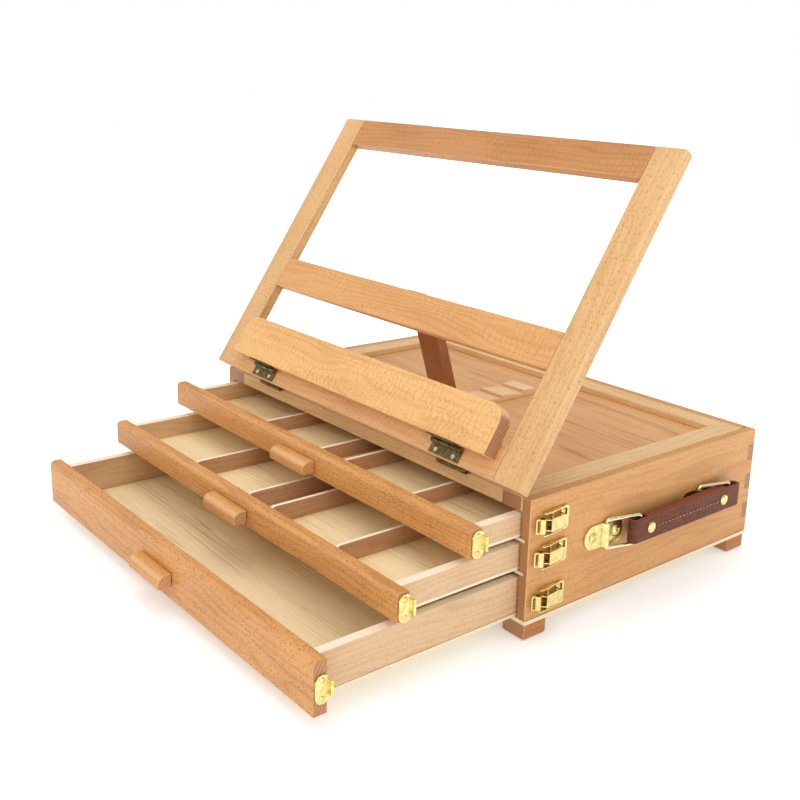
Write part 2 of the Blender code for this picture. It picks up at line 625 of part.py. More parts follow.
# ---------------------------------------------------------------- latches
def make_latch(root, name, height):
    """Base with two ears, a lever on the ears, and a claw that the lever draws back."""
    base = empty(name + "_latch_seat", root, (HALF, 0.0, height))
    middle_y = (LATCH_PLATE_FRONT + LATCH_PLATE_BACK) / 2
    window = LATCH_WINDOW
    plate = extruded(name + "_latch_base", [
        rounded([(LATCH_PLATE_FRONT, -LATCH_HALF, 1.0 * MM), (LATCH_PLATE_BACK, -LATCH_HALF, 2.0 * MM),
                 (LATCH_PLATE_BACK, LATCH_HALF, 2.0 * MM), (LATCH_PLATE_FRONT, LATCH_HALF, 1.0 * MM)]),
        rounded([(middle_y - window, -window, 1.0 * MM), (middle_y + window, -window, 1.0 * MM),
                 (middle_y + window, window, 1.0 * MM), (middle_y - window, window, 1.0 * MM)]),
    ], BRASS, BRASS_BRIGHT, base, (GAP + BRASS / 2, 0.0, 0.0), ALONG_X)
    ear_outline = rounded([
        (EAR_FRONT, GAP, 1.0 * MM), (LATCH_PLATE_BACK - 2.0 * MM, GAP, 0.0),
        (LATCH_PLATE_BACK - 2.0 * MM, GAP + BRASS * 1.5, 0.0), (EAR_FRONT + 8.0 * MM, EAR_HEIGHT, 2.0 * MM),
        (EAR_FRONT, EAR_HEIGHT, 1.8 * MM),
    ])
    ear_outline = [(out, along) for along, out in ear_outline]
    for end, sign in (("lower", -1), ("upper", 1)):
        z = sign * (LATCH_HALF - EAR / 2)
        ear = extruded(f"{name}_latch_{end}_ear", [ear_outline], EAR, None, base, (0.0, 0.0, z))
        flange = LATCH_HALF - EAR
        inner = CLAW_HALF + 2 * GAP
        middle = sign * (inner + flange + EAR / 2) / 2
        stub = rod(f"{name}_latch_{end}_stub", (LEVER_PIVOT[1], LEVER_PIVOT[0], middle),
                   flange + EAR / 2 - inner, LATCH_PIN, None, base, UPRIGHT, 12)
        join(plate, ear, stub)

    lever = empty(name + "_lever_axis", base, (LEVER_PIVOT[1], LEVER_PIVOT[0], 0.0))
    make_lever(lever, name)
    claw = empty(name + "_claw_axis", lever,
                 (CLAW_PIVOT[1] - LEVER_PIVOT[1], CLAW_PIVOT[0] - LEVER_PIVOT[0], 0.0))
    make_claw(claw, name)


def make_lever(lever, name):
    """Thumb plate with two flanges that turn on the ears and carry the claw's pin."""
    outer = LATCH_HALF - EAR - GAP
    inner = CLAW_HALF + 3 * GAP
    start = LEVER_START - LEVER_PIVOT[0]
    end = LEVER_END - LEVER_PIVOT[0]
    out = CLAW_PIVOT[1] - LEVER_PIVOT[1]
    plate = extruded(name + "_latch_lever", [rounded([
        (start, -outer, 0.0), (end - LEVER_POINT, -outer, BRASS), (end, -outer * 0.55, BRASS),
        (end, outer * 0.55, BRASS), (end - LEVER_POINT, outer, BRASS), (start, outer, 0.0),
    ])], BRASS, BRASS_BRIGHT, lever, (out + BRASS / 2, 0.0, 0.0), ALONG_X)
    reach = CLAW_PIVOT[0] - LEVER_PIVOT[0]
    side = rounded([
        (-LEVER_EYE, -LEVER_EYE, LEVER_EYE * 0.85), (reach + LEVER_EYE, out - LEVER_EYE, 0.0),
        (start + 2 * BRASS, out - BRASS * 0.2, 0.0), (start + 2 * BRASS, out + BRASS * 0.9, 0.0),
        (-LEVER_EYE, LEVER_EYE, LEVER_EYE * 0.85),
    ])
    side = [(x, y) for y, x in side]
    for end_name, sign in (("lower", -1), ("upper", 1)):
        z = sign * (inner + outer) / 2
        flange = extruded(f"{name}_lever_{end_name}_flange", [side], outer - inner, None, lever, (0.0, 0.0, z))
        join(plate, flange)
    join(plate, rod(name + "_claw_pin", (out, reach, 0.0), inner + outer, LATCH_PIN, None, lever, UPRIGHT, 12))
    cut(plate, rod(name + "_lever_bore", (0.0, 0.0, 0.0), 2 * LATCH_HALF, LATCH_PIN + PIN_PLAY, None, lever,
                   UPRIGHT, 12))


def make_claw(claw, name):
    """Tongue from the claw pin to a curled nose and a slotted tip that hangs over the catch's lip."""
    curl_y = CLAW_CURL[0] - CLAW_PIVOT[0]
    curl_x = CLAW_CURL[1] - CLAW_PIVOT[1]
    tip_y = CLAW_TIP - CLAW_PIVOT[0]
    tongue = block(name + "_latch_claw", (0.0, curl_y, -CLAW_HALF), (BRASS, 0.0, CLAW_HALF), BRASS_BRIGHT, claw)
    eye = rod(name + "_claw_eye", (0.0, 0.0, 0.0), 2 * CLAW_HALF, LATCH_PIN + PIN_PLAY + 0.8 * MM, None, claw)
    nose = rod(name + "_claw_nose", (curl_x, curl_y, 0.0), 2 * CLAW_HALF, CLAW_CURL_RADIUS, None, claw)
    tip_x = curl_x + 0.4 * MM
    tip = extruded(name + "_claw_tip", [
        rounded([(tip_y, -CLAW_HALF * 0.96, 1.0 * MM), (curl_y, -CLAW_HALF * 0.96, 0.0),
                 (curl_y, CLAW_HALF * 0.96, 0.0), (tip_y, CLAW_HALF * 0.96, 1.0 * MM)]),
        [(tip_y + 1.2 * MM, -3.4 * MM), (tip_y + 2.6 * MM, -3.4 * MM),
         (tip_y + 2.6 * MM, 3.4 * MM), (tip_y + 1.2 * MM, 3.4 * MM)],
    ], BRASS, None, claw, (tip_x, 0.0, 0.0), ALONG_X)
    join(tongue, eye, nose, tip)
    cut(tongue, rod(name + "_claw_bore", (0.0, 0.0, 0.0), 3 * CLAW_HALF, LATCH_PIN + PIN_PLAY, None, claw,
                    UPRIGHT, 12))


# ---------------------------------------------------------------- handle
def make_handle(root):
    """Two plates with rings, facing the same way, and the strap between the rings."""
    for name, y in zip(("front", "rear"), HANDLE_PLACES):
        seat = empty(name + "_handle_seat", root, (HALF, y, HANDLE_HEIGHT))
        make_handle_plate(seat, name)
        ring = empty(name + "_ring_axis", seat, (RING_OUT, 0.0, 0.0), (0.0, 0.0, -RING_ANGLE))
        make_ring(ring, name)
        if name == "front":
            holder = empty("strap_axis", ring, (0.0, RING_LENGTH, 0.0), (0.0, 0.0, RING_ANGLE))
            make_strap(holder)


def make_handle_plate(seat, name):
    """A strip that arches over the ring's near bar, trimmed to a long plate with round ends."""
    inner = WIRE + 1.25 * GAP
    outer = inner + PLATE
    out = GAP + PLATE
    strip = [(GAP, -PLATE_FRONT - CUT), (GAP, -inner), (RING_OUT, -inner)]
    strip += [(RING_OUT + v, u) for u, v in arc((0.0, 0.0), inner, 180, 0, 8)][1:-1]
    strip += [(RING_OUT, inner), (GAP, inner), (GAP, PLATE_BACK + CUT), (out, PLATE_BACK + CUT),
              (out, outer), (RING_OUT, outer)]
    strip += [(RING_OUT + v, u) for u, v in arc((0.0, 0.0), outer, 0, 180, 8)][1:-1]
    strip += [(RING_OUT, -outer), (out, -outer), (out, -PLATE_FRONT - CUT)]
    plate = extruded(name + "_handle_plate", [strip], 2 * PLATE_HALF, BRASS_BRIGHT, seat, (0.0, 0.0, 0.0))
    outline = rounded([
        (-PLATE_FRONT, -PLATE_HALF - CUT / 4, PLATE_HALF), (PLATE_BACK, -PLATE_HALF - CUT / 4, PLATE_HALF * 0.8),
        (PLATE_BACK, PLATE_HALF + CUT / 4, PLATE_HALF * 0.8), (-PLATE_FRONT, PLATE_HALF + CUT / 4, PLATE_HALF),
    ], 8)
    trim = extruded(name + "_plate_outline", [outline], 4 * STRAP_THICK, None, seat, (0.0, 0.0, 0.0), ALONG_X)
    boolean(plate, trim, "INTERSECT")


def make_ring(ring, name):
    """A round-cornered rectangle of wire, lying in Y and Z from its near bar on the axis."""
    corner = RING_CORNER
    outline = rounded([
        (0.0, -RING_HALF, corner), (RING_LENGTH, -RING_HALF, corner),
        (RING_LENGTH, RING_HALF, corner), (0.0, RING_HALF, corner),
    ])
    curve = bpy.data.curves.new(name + "_ring_wire", "CURVE")
    curve.dimensions = "3D"
    curve.bevel_depth = WIRE
    curve.bevel_resolution = 2
    spline = curve.splines.new("POLY")
    spline.points.add(len(outline) - 1)
    for point, (y, z) in zip(spline.points, outline):
        point.co = (0.0, y, z, 1.0)
    spline.use_cyclic_u = True
    solid_from_curve(name + "_handle_ring", curve, RING_WIRE, ring, (0.0, 0.0, 0.0), UPRIGHT)


def make_strap(holder):
    """Folded leather with a loop round each ring's far bar, seen from above as a long rounded bar."""
    spacing = HANDLE_PLACES[1] - HANDLE_PLACES[0]
    half = STRAP_THICK / 2
    hole = half - LEATHER
    outline = rounded([
        (half, -STRAP_LOOP, half * 0.95), (half, spacing + STRAP_LOOP, half * 0.95),
        (-half, spacing + STRAP_LOOP, half * 0.95), (-half, -STRAP_LOOP, half * 0.95),
    ])
    eyes = []
    for low, high in ((LEATHER - STRAP_LOOP, STRAP_EYE_IN),
                      (spacing - STRAP_EYE_IN, spacing + STRAP_LOOP - LEATHER)):
        eyes.append(rounded([(hole, low, hole * 0.9), (hole, high, hole * 0.9),
                             (-hole, high, hole * 0.9), (-hole, low, hole * 0.9)]))
    extruded("handle_strap", [outline, *eyes], 2 * STRAP_HALF, STRAP_LEATHER, holder, (0.0, 0.0, 0.0))


# ---------------------------------------------------------------- the whole easel
def main():
    root = empty("easel_origin", None, ORIGIN)
    case = empty("case_body", root)
    frame = empty("frame_axis", root, (0.0, -HINGE_FORWARD, CASE_HEIGHT + HINGE_ABOVE), (REST_ANGLE, 0.0, 0.0))
    make_case(case)
    make_rack(case)
    make_frame(frame)
    make_ledge(frame)
    make_prop(frame)
    make_frame_hinges(case, frame)
    for drawer in DRAWERS:
        make_drawer(root, *drawer)
    for (name, *_), height in zip(DRAWERS, LATCH_HEIGHTS):
        make_latch(root, name, height)
    make_handle(root)


main()
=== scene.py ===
"""Looks of a table-top sketch box easel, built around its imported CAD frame.

The frame's own boards are kept and finished, and the drawers, brassware and leather handle are made here in
finer shape. Lengths are in metres, in the frame's axes: X across, Y to the back and Z up.
"""
import math

import bmesh
import bpy
import numpy as np
from mathutils import Matrix, Vector


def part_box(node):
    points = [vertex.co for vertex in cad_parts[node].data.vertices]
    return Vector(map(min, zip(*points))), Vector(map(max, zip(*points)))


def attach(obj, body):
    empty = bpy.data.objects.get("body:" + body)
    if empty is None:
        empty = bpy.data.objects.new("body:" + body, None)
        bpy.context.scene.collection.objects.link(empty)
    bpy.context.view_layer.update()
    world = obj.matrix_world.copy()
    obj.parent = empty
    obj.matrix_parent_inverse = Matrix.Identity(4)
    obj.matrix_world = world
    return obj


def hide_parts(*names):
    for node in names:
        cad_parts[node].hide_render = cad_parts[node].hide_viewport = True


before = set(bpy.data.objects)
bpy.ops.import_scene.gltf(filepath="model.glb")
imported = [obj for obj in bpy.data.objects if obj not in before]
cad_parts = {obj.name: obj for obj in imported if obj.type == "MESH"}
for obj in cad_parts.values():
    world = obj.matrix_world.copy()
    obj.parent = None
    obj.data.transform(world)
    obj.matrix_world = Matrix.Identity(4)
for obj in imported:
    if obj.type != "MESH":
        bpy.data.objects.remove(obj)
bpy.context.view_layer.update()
MM = 0.001


# ---------------------------------------------------------------- Case walls
# Four beech boards, glued at the back with interlocking fingers and clear-lacquered. The walls run with their
# grain along their length, so the fingers and the front edges show end grain.
def node(tree, kind, inputs=None, **settings):
    """Adds a shader node: a socket given as an input is linked, and anything else is set as its value."""
    made = tree.nodes.new(kind)
    for key, value in settings.items():
        setattr(made, key, value)
    for key, value in (inputs or {}).items():
        if isinstance(value, bpy.types.NodeSocket):
            tree.links.new(value, made.inputs[key])
        else:
            made.inputs[key].default_value = value
    return made


def calc(tree, operation, *values, clamp=False):
    """A Math node's result."""
    inputs = dict(enumerate(values))
    return node(tree, "ShaderNodeMath", inputs, operation=operation, use_clamp=clamp).outputs[0]


def stretch(tree, vector, factors, shift=(0.0, 0.0, 0.0)):
    """A vector times one factor along each axis, plus a shift."""
    inputs = {0: vector, 1: factors, 2: shift}
    return node(tree, "ShaderNodeVectorMath", inputs, operation="MULTIPLY_ADD").outputs[0]


def part(tree, vector, axis):
    """One of a vector's three parts."""
    return node(tree, "ShaderNodeSeparateXYZ", {0: vector}).outputs[axis]


def length(tree, vector):
    """A vector's length."""
    return node(tree, "ShaderNodeVectorMath", {0: vector}, operation="LENGTH").outputs["Value"]


def noise(tree, vector, scale=1.0, detail=2.0, roughness=0.5):
    """A Noise node's value, from 0 to 1."""
    inputs = {"Vector": vector, "Scale": scale, "Detail": detail, "Roughness": roughness}
    return node(tree, "ShaderNodeTexNoise", inputs).outputs[0]


def step(tree, value, low, high):
    """A smooth step from 0 at low to 1 at high."""
    inputs = {"Value": value, "From Min": low, "From Max": high}
    return node(tree, "ShaderNodeMapRange", inputs, interpolation_type="SMOOTHSTEP").outputs[0]


def mix(tree, share, first, second, blend="MIX"):
    """One colour laid over another."""
    made = node(tree, "ShaderNodeMix", data_type="RGBA", blend_type=blend)
    for socket, value in zip((made.inputs[0], made.inputs[6], made.inputs[7]), (share, first, second)):
        if isinstance(value, bpy.types.NodeSocket):
            tree.links.new(value, socket)
        else:
            socket.default_value = value
    return made.outputs[2]


def group(name, inputs, outputs):
    """An empty node group, with its input and output nodes. Inputs are (name, kind, value)."""
    tree = bpy.data.node_groups.new(name, "ShaderNodeTree")
    for label, kind, value in inputs:
        socket = tree.interface.new_socket(label, in_out="INPUT", socket_type="NodeSocket" + kind)
        if value is not None:
            socket.default_value = value
    for label, kind in outputs:
        tree.interface.new_socket(label, in_out="OUTPUT", socket_type="NodeSocket" + kind)
    return tree, tree.nodes.new("NodeGroupInput").outputs, tree.nodes.new("NodeGroupOutput")


def shade(colour):
    """A colour written as six hex digits, as the linear values that shaders take."""
    values = np.array([int(colour[i:i + 2], 16) for i in (0, 2, 4)]) / 255
    linear = np.where(values <= 0.04045, values / 12.92, ((values + 0.055) / 1.055) ** 2.4)
    return (*linear.tolist(), 1.0)


WHITE = (1.0, 1.0, 1.0, 1.0)
BLACK = (0.0, 0.0, 0.0, 1.0)
PITH = (0.0, 34.0, 61.0)                            # from a board's axis to the middle of its tree
LAYER_TURN = 1.7                                    # radians per mm, so a growth layer is 3.7 mm thick
END_LAYER_TURN = 2.4                                # and 2.6 mm where it is cut across
WOOD_INPUTS = [("Vector", "Vector", None), ("Pale", "Color", WHITE), ("Deep", "Color", WHITE)]


def make_beech_grain():
    """Long grain of beech, in millimetres with X along the grain.

    Growth layers are sine bands of the distance from a far, slightly wandering pith. Fibres are noise drawn
    out along X, flecks are the middles of long Voronoi cells, and curl is a cross-grain ripple in places.
    """
    tree, given, out = group("beech_grain", WOOD_INPUTS + [
        ("Fleck", "Color", BLACK), ("Figure", "Float", 0.5), ("Flecks", "Float", 0.5), ("Curl", "Float", 0.0),
    ], [("Color", "Color"), ("Height", "Float")])
    at = given["Vector"]

    drift = {"Vector": stretch(tree, at, (0.006, 0.03, 0.03)), "Scale": 1.0, "Detail": 2.0}
    wander = node(tree, "ShaderNodeTexNoise", drift).outputs["Color"]
    bent = stretch(tree, wander, (0.0, 26.0, 26.0), at)
    pith = length(tree, stretch(tree, bent, (0.0, 1.0, 1.0), PITH))
    layers = calc(tree, "SINE", calc(tree, "MULTIPLY", pith, LAYER_TURN))
    layers = calc(tree, "POWER", calc(tree, "MULTIPLY_ADD", layers, 0.5, 0.5), 2.2)
    fibres = noise(tree, stretch(tree, at, (0.09, 2.6, 2.6)), detail=3.0, roughness=0.6)
    cloud = noise(tree, stretch(tree, at, (0.012, 0.06, 0.06)), detail=2.0)
    depth = calc(tree, "MULTIPLY", layers, 0.42)
    depth = calc(tree, "MULTIPLY_ADD", calc(tree, "SUBTRACT", fibres, 0.5), 1.1, depth)
    depth = calc(tree, "MULTIPLY_ADD", calc(tree, "SUBTRACT", cloud, 0.45), 1.6, depth)
    depth = calc(tree, "MULTIPLY", depth, given["Figure"], clamp=True)
    wood = mix(tree, depth, given["Pale"], given["Deep"])

    long_cells = {"Vector": stretch(tree, at, (0.24, 1.15, 1.15)), "Scale": 1.0, "Randomness": 1.0}
    cells = node(tree, "ShaderNodeTexVoronoi", long_cells).outputs
    dash = calc(tree, "SUBTRACT", 1.0, step(tree, cells["Distance"], 0.1, 0.4))
    chance = node(tree, "ShaderNodeSeparateColor", {0: cells["Color"]}).outputs[0]
    dash = calc(tree, "MULTIPLY", dash, step(tree, chance, 0.1, 0.7))
    dash = calc(tree, "MULTIPLY", dash, calc(tree, "MULTIPLY", given["Flecks"], 0.9), clamp=True)
    wood = mix(tree, dash, wood, given["Fleck"])

    bands = noise(tree, stretch(tree, at, (0.05, 0.09, 0.09)), detail=3.0)
    ripple_at = part(tree, stretch(tree, at, (1.1, 0.16, 0.16)), 0)
    ripple = calc(tree, "SINE", calc(tree, "MULTIPLY_ADD", bands, 22.0, ripple_at))
    patch = step(tree, noise(tree, stretch(tree, at, (0.02, 0.05, 0.05), (7.0, 3.0, 1.0))), 0.38, 0.62)
    curl = calc(tree, "MULTIPLY", calc(tree, "MULTIPLY", ripple, patch), given["Curl"])
    level = calc(tree, "MULTIPLY_ADD", curl, 0.10, 1.0)
    grey = node(tree, "ShaderNodeCombineColor", {0: level, 1: level, 2: level}).outputs[0]
    wood = mix(tree, 1.0, wood, grey, "MULTIPLY")
    height = calc(tree, "MULTIPLY_ADD", fibres, 0.5, calc(tree, "MULTIPLY", dash, -0.6))
    tree.links.new(wood, out.inputs["Color"])
    tree.links.new(height, out.inputs["Height"])
    return tree


def make_end_grain():
    """Sawn end of beech, in millimetres with X along the grain: growth layers crossed by fine pores."""
    tree, given, out = group("end_grain", WOOD_INPUTS, [("Color", "Color")])
    at = given["Vector"]
    pith = length(tree, stretch(tree, at, (0.0, 1.0, 1.0), PITH))
    layers = calc(tree, "SINE", calc(tree, "MULTIPLY", pith, END_LAYER_TURN))
    layers = calc(tree, "POWER", calc(tree, "MULTIPLY_ADD", layers, 0.5, 0.5), 2.0)
    pores = noise(tree, stretch(tree, at, (0.4, 2.4, 2.4)), detail=3.0, roughness=0.7)
    share = calc(tree, "MULTIPLY_ADD", layers, 0.55, calc(tree, "MULTIPLY_ADD", pores, 0.9, -0.3), clamp=True)
    tree.links.new(mix(tree, share, given["Pale"], given["Deep"]), out.inputs["Color"])
    return tree


def make_arris():
    """How far a face is end grain, an eased edge, or an upper face, from its normal in the board's axes."""
    tree, given, out = group("arris", [("Normal", "Vector", None)],
                             [("End", "Float"), ("Edge", "Float"), ("Top", "Float")])
    parts = node(tree, "ShaderNodeSeparateXYZ", {0: given["Normal"]}).outputs
    along, across, thick = (calc(tree, "ABSOLUTE", each) for each in parts)
    squareness = calc(tree, "MAXIMUM", calc(tree, "MAXIMUM", across, thick), along)
    tree.links.new(step(tree, along, 0.75, 0.9), out.inputs["End"])
    tree.links.new(step(tree, parts[2], 0.55, 0.8), out.inputs["Top"])
    tree.links.new(calc(tree, "SUBTRACT", 1.0, step(tree, squareness, 0.8, 0.97)), out.inputs["Edge"])
    return tree


BEECH_GRAIN = make_beech_grain()
END_GRAIN = make_end_grain()
ARRIS = make_arris()
WITH_X = (0.0, 0.0, 0.0)                            # turns that bring a board's grain onto X
WITH_Y = (0.0, 0.0, -math.pi / 2)
boards_made = 0                                     # moves each board to its own stretch of grain


def board_axes(tree, turn, place):
    """A board's own axes in millimetres, with X along its grain, and its normal in them."""
    origin = node(tree, "ShaderNodeTexCoord").outputs
    at = node(tree, "ShaderNodeMapping", {"Vector": origin["Object"], "Location": place, "Rotation": turn,
                                          "Scale": (1 / MM, 1 / MM, 1 / MM)}).outputs[0]
    normal = node(tree, "ShaderNodeMapping", {"Vector": origin["Normal"], "Rotation": turn},
                  vector_type="VECTOR").outputs[0]
    return at, normal


def blank(name):
    """A new material, with its node tree and its shader."""
    material = bpy.data.materials.new(name)
    material.use_nodes = True
    return material, material.node_tree, material.node_tree.nodes["Principled BSDF"]


def emboss(tree, shader, height, strength, depth):
    """Fine relief on a finish, as deep as the depth in metres."""
    bump = node(tree, "ShaderNodeBump", {"Height": height, "Strength": strength, "Distance": depth})
    tree.links.new(bump.outputs[0], shader.inputs["Normal"])


LACQUER_ROUGH = 0.46
LACQUER_SHINE = 0.4
PAINTED_ARRIS_HIGHLIGHT = "F8DDB4"                                    # painted highlight on the eased arrises, laid on as paler wood colour
# near white laid on upper faces, as painted light from above
PAINTED_TOP_LIGHT = "FFF4E0"


def beech(name, turn, pale, deep, fleck, figure=0.8, flecks=0.6, curl=0.0, end=("B98A63", "8E5D3C"),
          edge=0.14, top=0.0):
    """Lacquered beech for one board. Each board gets its own stretch of grain."""
    global boards_made
    boards_made += 1
    place = (137.0 * boards_made, 53.0 * math.sin(boards_made * 2.4), 29.0 * math.cos(boards_made * 1.7))
    material, tree, shader = blank(name)
    at, normal = board_axes(tree, turn, place)
    long = node(tree, "ShaderNodeGroup", {
        "Vector": at, "Pale": shade(pale), "Deep": shade(deep), "Fleck": shade(fleck), "Figure": figure,
        "Flecks": flecks, "Curl": curl}, node_tree=BEECH_GRAIN).outputs
    cut = node(tree, "ShaderNodeGroup", {"Vector": at, "Pale": shade(end[0]), "Deep": shade(end[1])},
               node_tree=END_GRAIN).outputs
    sides = node(tree, "ShaderNodeGroup", {"Normal": normal}, node_tree=ARRIS).outputs
    wood = mix(tree, sides["End"], long["Color"], cut["Color"])
    # Painted highlight: eased arrises are painted paler, as strongly as edge says.
    wood = mix(tree, calc(tree, "MULTIPLY", sides["Edge"], edge), wood, shade(PAINTED_ARRIS_HIGHLIGHT))
    # Painted light: upper faces are painted near white, as light falling from above, as strongly as top says.
    if top:
        wood = mix(tree, calc(tree, "MULTIPLY", sides["Top"], top), wood, shade(PAINTED_TOP_LIGHT))
    tree.links.new(wood, shader.inputs["Base Color"])
    shader.inputs["Roughness"].default_value = LACQUER_ROUGH
    shader.inputs["Specular IOR Level"].default_value = LACQUER_SHINE
    emboss(tree, shader, long["Height"], 0.35, 0.00006)
    return material


def dress(name, material):
    """Gives a CAD node its finish."""
    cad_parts[name].data.materials.clear()
    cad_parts[name].data.materials.append(material)


for name, turn in (("left_side", WITH_Y), ("right_side", WITH_Y), ("back_wall", WITH_X)):
    dress(name, beech(name, turn, "D79E60", "BB7F46", "925F33", figure=0.75, flecks=0.75,
                      end=("BD8758", "905B35")))


# ---------------------------------------------------------------- Rim and feet
# Four flat beech rails set inside the walls' upper edges, which frame the tray, and four square feet glued
# below.
for name, turn in (("left_rim_rail", WITH_Y), ("right_rim_rail", WITH_Y), ("front_rim_rail", WITH_X),
                   ("back_rim_rail", WITH_X)):
    dress(name, beech(name, turn, "E8C590", "CC9A62", "9A6B3B", figure=0.8, flecks=0.6))
for name in ("front_left_foot", "front_right_foot", "back_left_foot", "back_right_foot"):
    dress(name, beech(name, WITH_Y, "C07D3C", "A06129", "78441B"))


# ---------------------------------------------------------------- Plywood panels
# Thin plywood for the tray, the two shelves that the drawers run on, and the base, whose pale edge shows
# under the walls. The face veneer has long brown lines and the edges show three plies.
PLY_TURN = 5.2                                      # radians per mm, so a pair of plies is 1.2 mm thick
PLY_LINE = "C79A62"


def make_veneer():
    """Rotary-cut veneer in millimetres with X along the grain.

    Lines are sine bands of a stretched noise, with gaps, and fibres are finer noise drawn out along X.
    """
    tree, given, out = group("veneer", WOOD_INPUTS + [("Lines", "Float", 0.5)],
                             [("Color", "Color"), ("Height", "Float")])
    at = given["Vector"]
    broad = noise(tree, stretch(tree, at, (0.0016, 0.06, 0.02)), detail=1.0)
    waves = calc(tree, "SINE", calc(tree, "MULTIPLY", broad, 120.0))
    lines = step(tree, waves, -0.6, 1.0)
    gaps = step(tree, noise(tree, stretch(tree, at, (0.008, 0.05, 0.05), (9.0, 4.0, 2.0))), 0.3, 0.7)
    fibres = noise(tree, stretch(tree, at, (0.06, 3.0, 3.0)), detail=3.0, roughness=0.65)
    depth = calc(tree, "MULTIPLY", calc(tree, "MULTIPLY", lines, gaps), given["Lines"])
    depth = calc(tree, "MULTIPLY_ADD", calc(tree, "SUBTRACT", fibres, 0.45), 1.2, depth, clamp=True)
    tree.links.new(mix(tree, depth, given["Pale"], given["Deep"]), out.inputs["Color"])
    tree.links.new(fibres, out.inputs["Height"])
    return tree


VENEER = make_veneer()


def plywood(name, turn, pale, deep, lines=0.6, edge="F6E6C4"):
    """Thin plywood with its grain lines. Where a face stands upright it shows the plies, as bands of Z."""
    global boards_made
    boards_made += 1
    place = (97.0 * boards_made, 61.0 * math.sin(boards_made * 1.9), 0.0)
    material, tree, shader = blank(name)
    at, normal = board_axes(tree, turn, place)
    face = node(tree, "ShaderNodeGroup", {
        "Vector": at, "Pale": shade(pale), "Deep": shade(deep), "Lines": lines}, node_tree=VENEER).outputs
    flatness = step(tree, calc(tree, "ABSOLUTE", part(tree, normal, 2)), 0.4, 0.7)
    upright = calc(tree, "SUBTRACT", 1.0, flatness)
    plies = calc(tree, "SINE", calc(tree, "MULTIPLY", part(tree, at, 2), PLY_TURN))
    grain = noise(tree, stretch(tree, at, (0.5, 0.5, 3.0)), detail=3.0)
    dark = calc(tree, "MULTIPLY", step(tree, plies, 0.2, 0.9), calc(tree, "MULTIPLY_ADD", grain, 0.5, 0.1))
    layers = mix(tree, dark, shade(edge), shade(PLY_LINE))
    tree.links.new(mix(tree, upright, face["Color"], layers), shader.inputs["Base Color"])
    shader.inputs["Roughness"].default_value = 0.5
    emboss(tree, shader, face["Height"], 0.25, 0.00005)
    return material


dress("tray_panel", plywood("tray_panel", WITH_X, "E0AC74", "AE7440", 0.75))
dress("upper_shelf", plywood("upper_shelf", WITH_X, "E6C79A", "B98A58"))
dress("lower_shelf", plywood("lower_shelf", WITH_X, "E6C79A", "B98A58"))
dress("base_panel", plywood("base_panel", WITH_X, "F3E0BC", "CFA877"))


# ---------------------------------------------------------------- Toothed rack
# A pale beech strip glued along the tray's middle, with steep notches that the prop's toe stands in.
dress("prop_rack", beech("prop_rack", WITH_Y, "F0CC9C", "D9A873", "A3733F", figure=0.5, flecks=0.4,
                         end=("EBD09C", "C59B63")))


# ---------------------------------------------------------------- Easel frame
# Two pale beech stiles with three tan rails butted between them, lacquered. It leans back on the prop.
LEAN = math.radians(56.6)                           # frame's slope from the case's top
WITH_FRAME = (-LEAN, 0.0, -math.pi / 2)             # turn for a board along the frame
ACROSS_FRAME = (-LEAN, 0.0, 0.0)
WITH_PROP = (math.radians(-72.8), 0.0, -math.pi / 2)
for name in ("left_stile", "right_stile"):
    dress(name, beech(name, WITH_FRAME, "DBB079", "C8925B", "A16D38", figure=0.8, flecks=1.2,
                      end=("CA9A67", "A57141")))
dress("top_rail", beech("top_rail", ACROSS_FRAME, "C28953", "A46938", "7C4B25", curl=0.6, flecks=0.5))
dress("middle_rail", beech("middle_rail", ACROSS_FRAME, "D9A266", "BE8047", "8E5C32", curl=0.6, flecks=0.5))
dress("bottom_rail", beech("bottom_rail", ACROSS_FRAME, "E2AE76", "C68A4E", "94602F", curl=0.5, flecks=0.6))
dress("prop_slat", beech("prop_slat", WITH_PROP, "A3642E", "7E4618", "562B0C", figure=0.9, flecks=0.7))


# ---------------------------------------------------------------- Ledge board
# A thick tan beech board with two round corners, folded flat on the frame's front. Its curly figure shows as
# bands across the grain. Every new piece below is worked out in the case's own millimetres.
base_low, base_high = (np.array(corner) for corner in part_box("base_panel"))
base_middle = (base_low[0] + base_high[0]) / 2
CASE = np.array([base_middle, base_low[1], base_low[2]])    # case's lower front edge, in the middle


def case_box(name):
    """A CAD node's lowest and highest corners, in the case's millimetres."""
    return [(np.array(corner) - CASE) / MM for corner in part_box(name)]


def rounded(corners, steps=8):
    """Closed outline of (x, y, radius) corners: each becomes an arc of even steps that meets both sides."""
    points = []
    places = np.array([corner[:2] for corner in corners], float)
    for number, (_, _, radius) in enumerate(corners):
        here = places[number]
        before = places[number - 1] - here
        after = places[(number + 1) % len(places)] - here
        before /= np.linalg.norm(before)
        after /= np.linalg.norm(after)
        if radius <= 0:
            points.append(here[None])
            continue
        half = math.acos(float(np.clip(before @ after, -1, 1))) / 2
        middle = (before + after) / np.linalg.norm(before + after) * radius / math.sin(half) + here
        start = here + before * radius / math.tan(half) - middle
        end = here + after * radius / math.tan(half) - middle
        first = math.atan2(start[1], start[0])
        sweep = (math.atan2(end[1], end[0]) - first + math.pi) % (2 * math.pi) - math.pi
        angles = first + sweep * np.linspace(0, 1, steps + 1)
        points.append(middle + radius * np.stack([np.cos(angles), np.sin(angles)], axis=1))
    return np.concatenate(points)


def oblong(low, high, radii=(0.0, 0.0, 0.0, 0.0), steps=8):
    """Closed outline of a rectangle, anticlockwise from its low corner, with a radius for each corner."""
    corners = ((low[0], low[1]), (high[0], low[1]), (high[0], high[1]), (low[0], high[1]))
    return rounded([(*corner, radius) for corner, radius in zip(corners, radii)], steps)


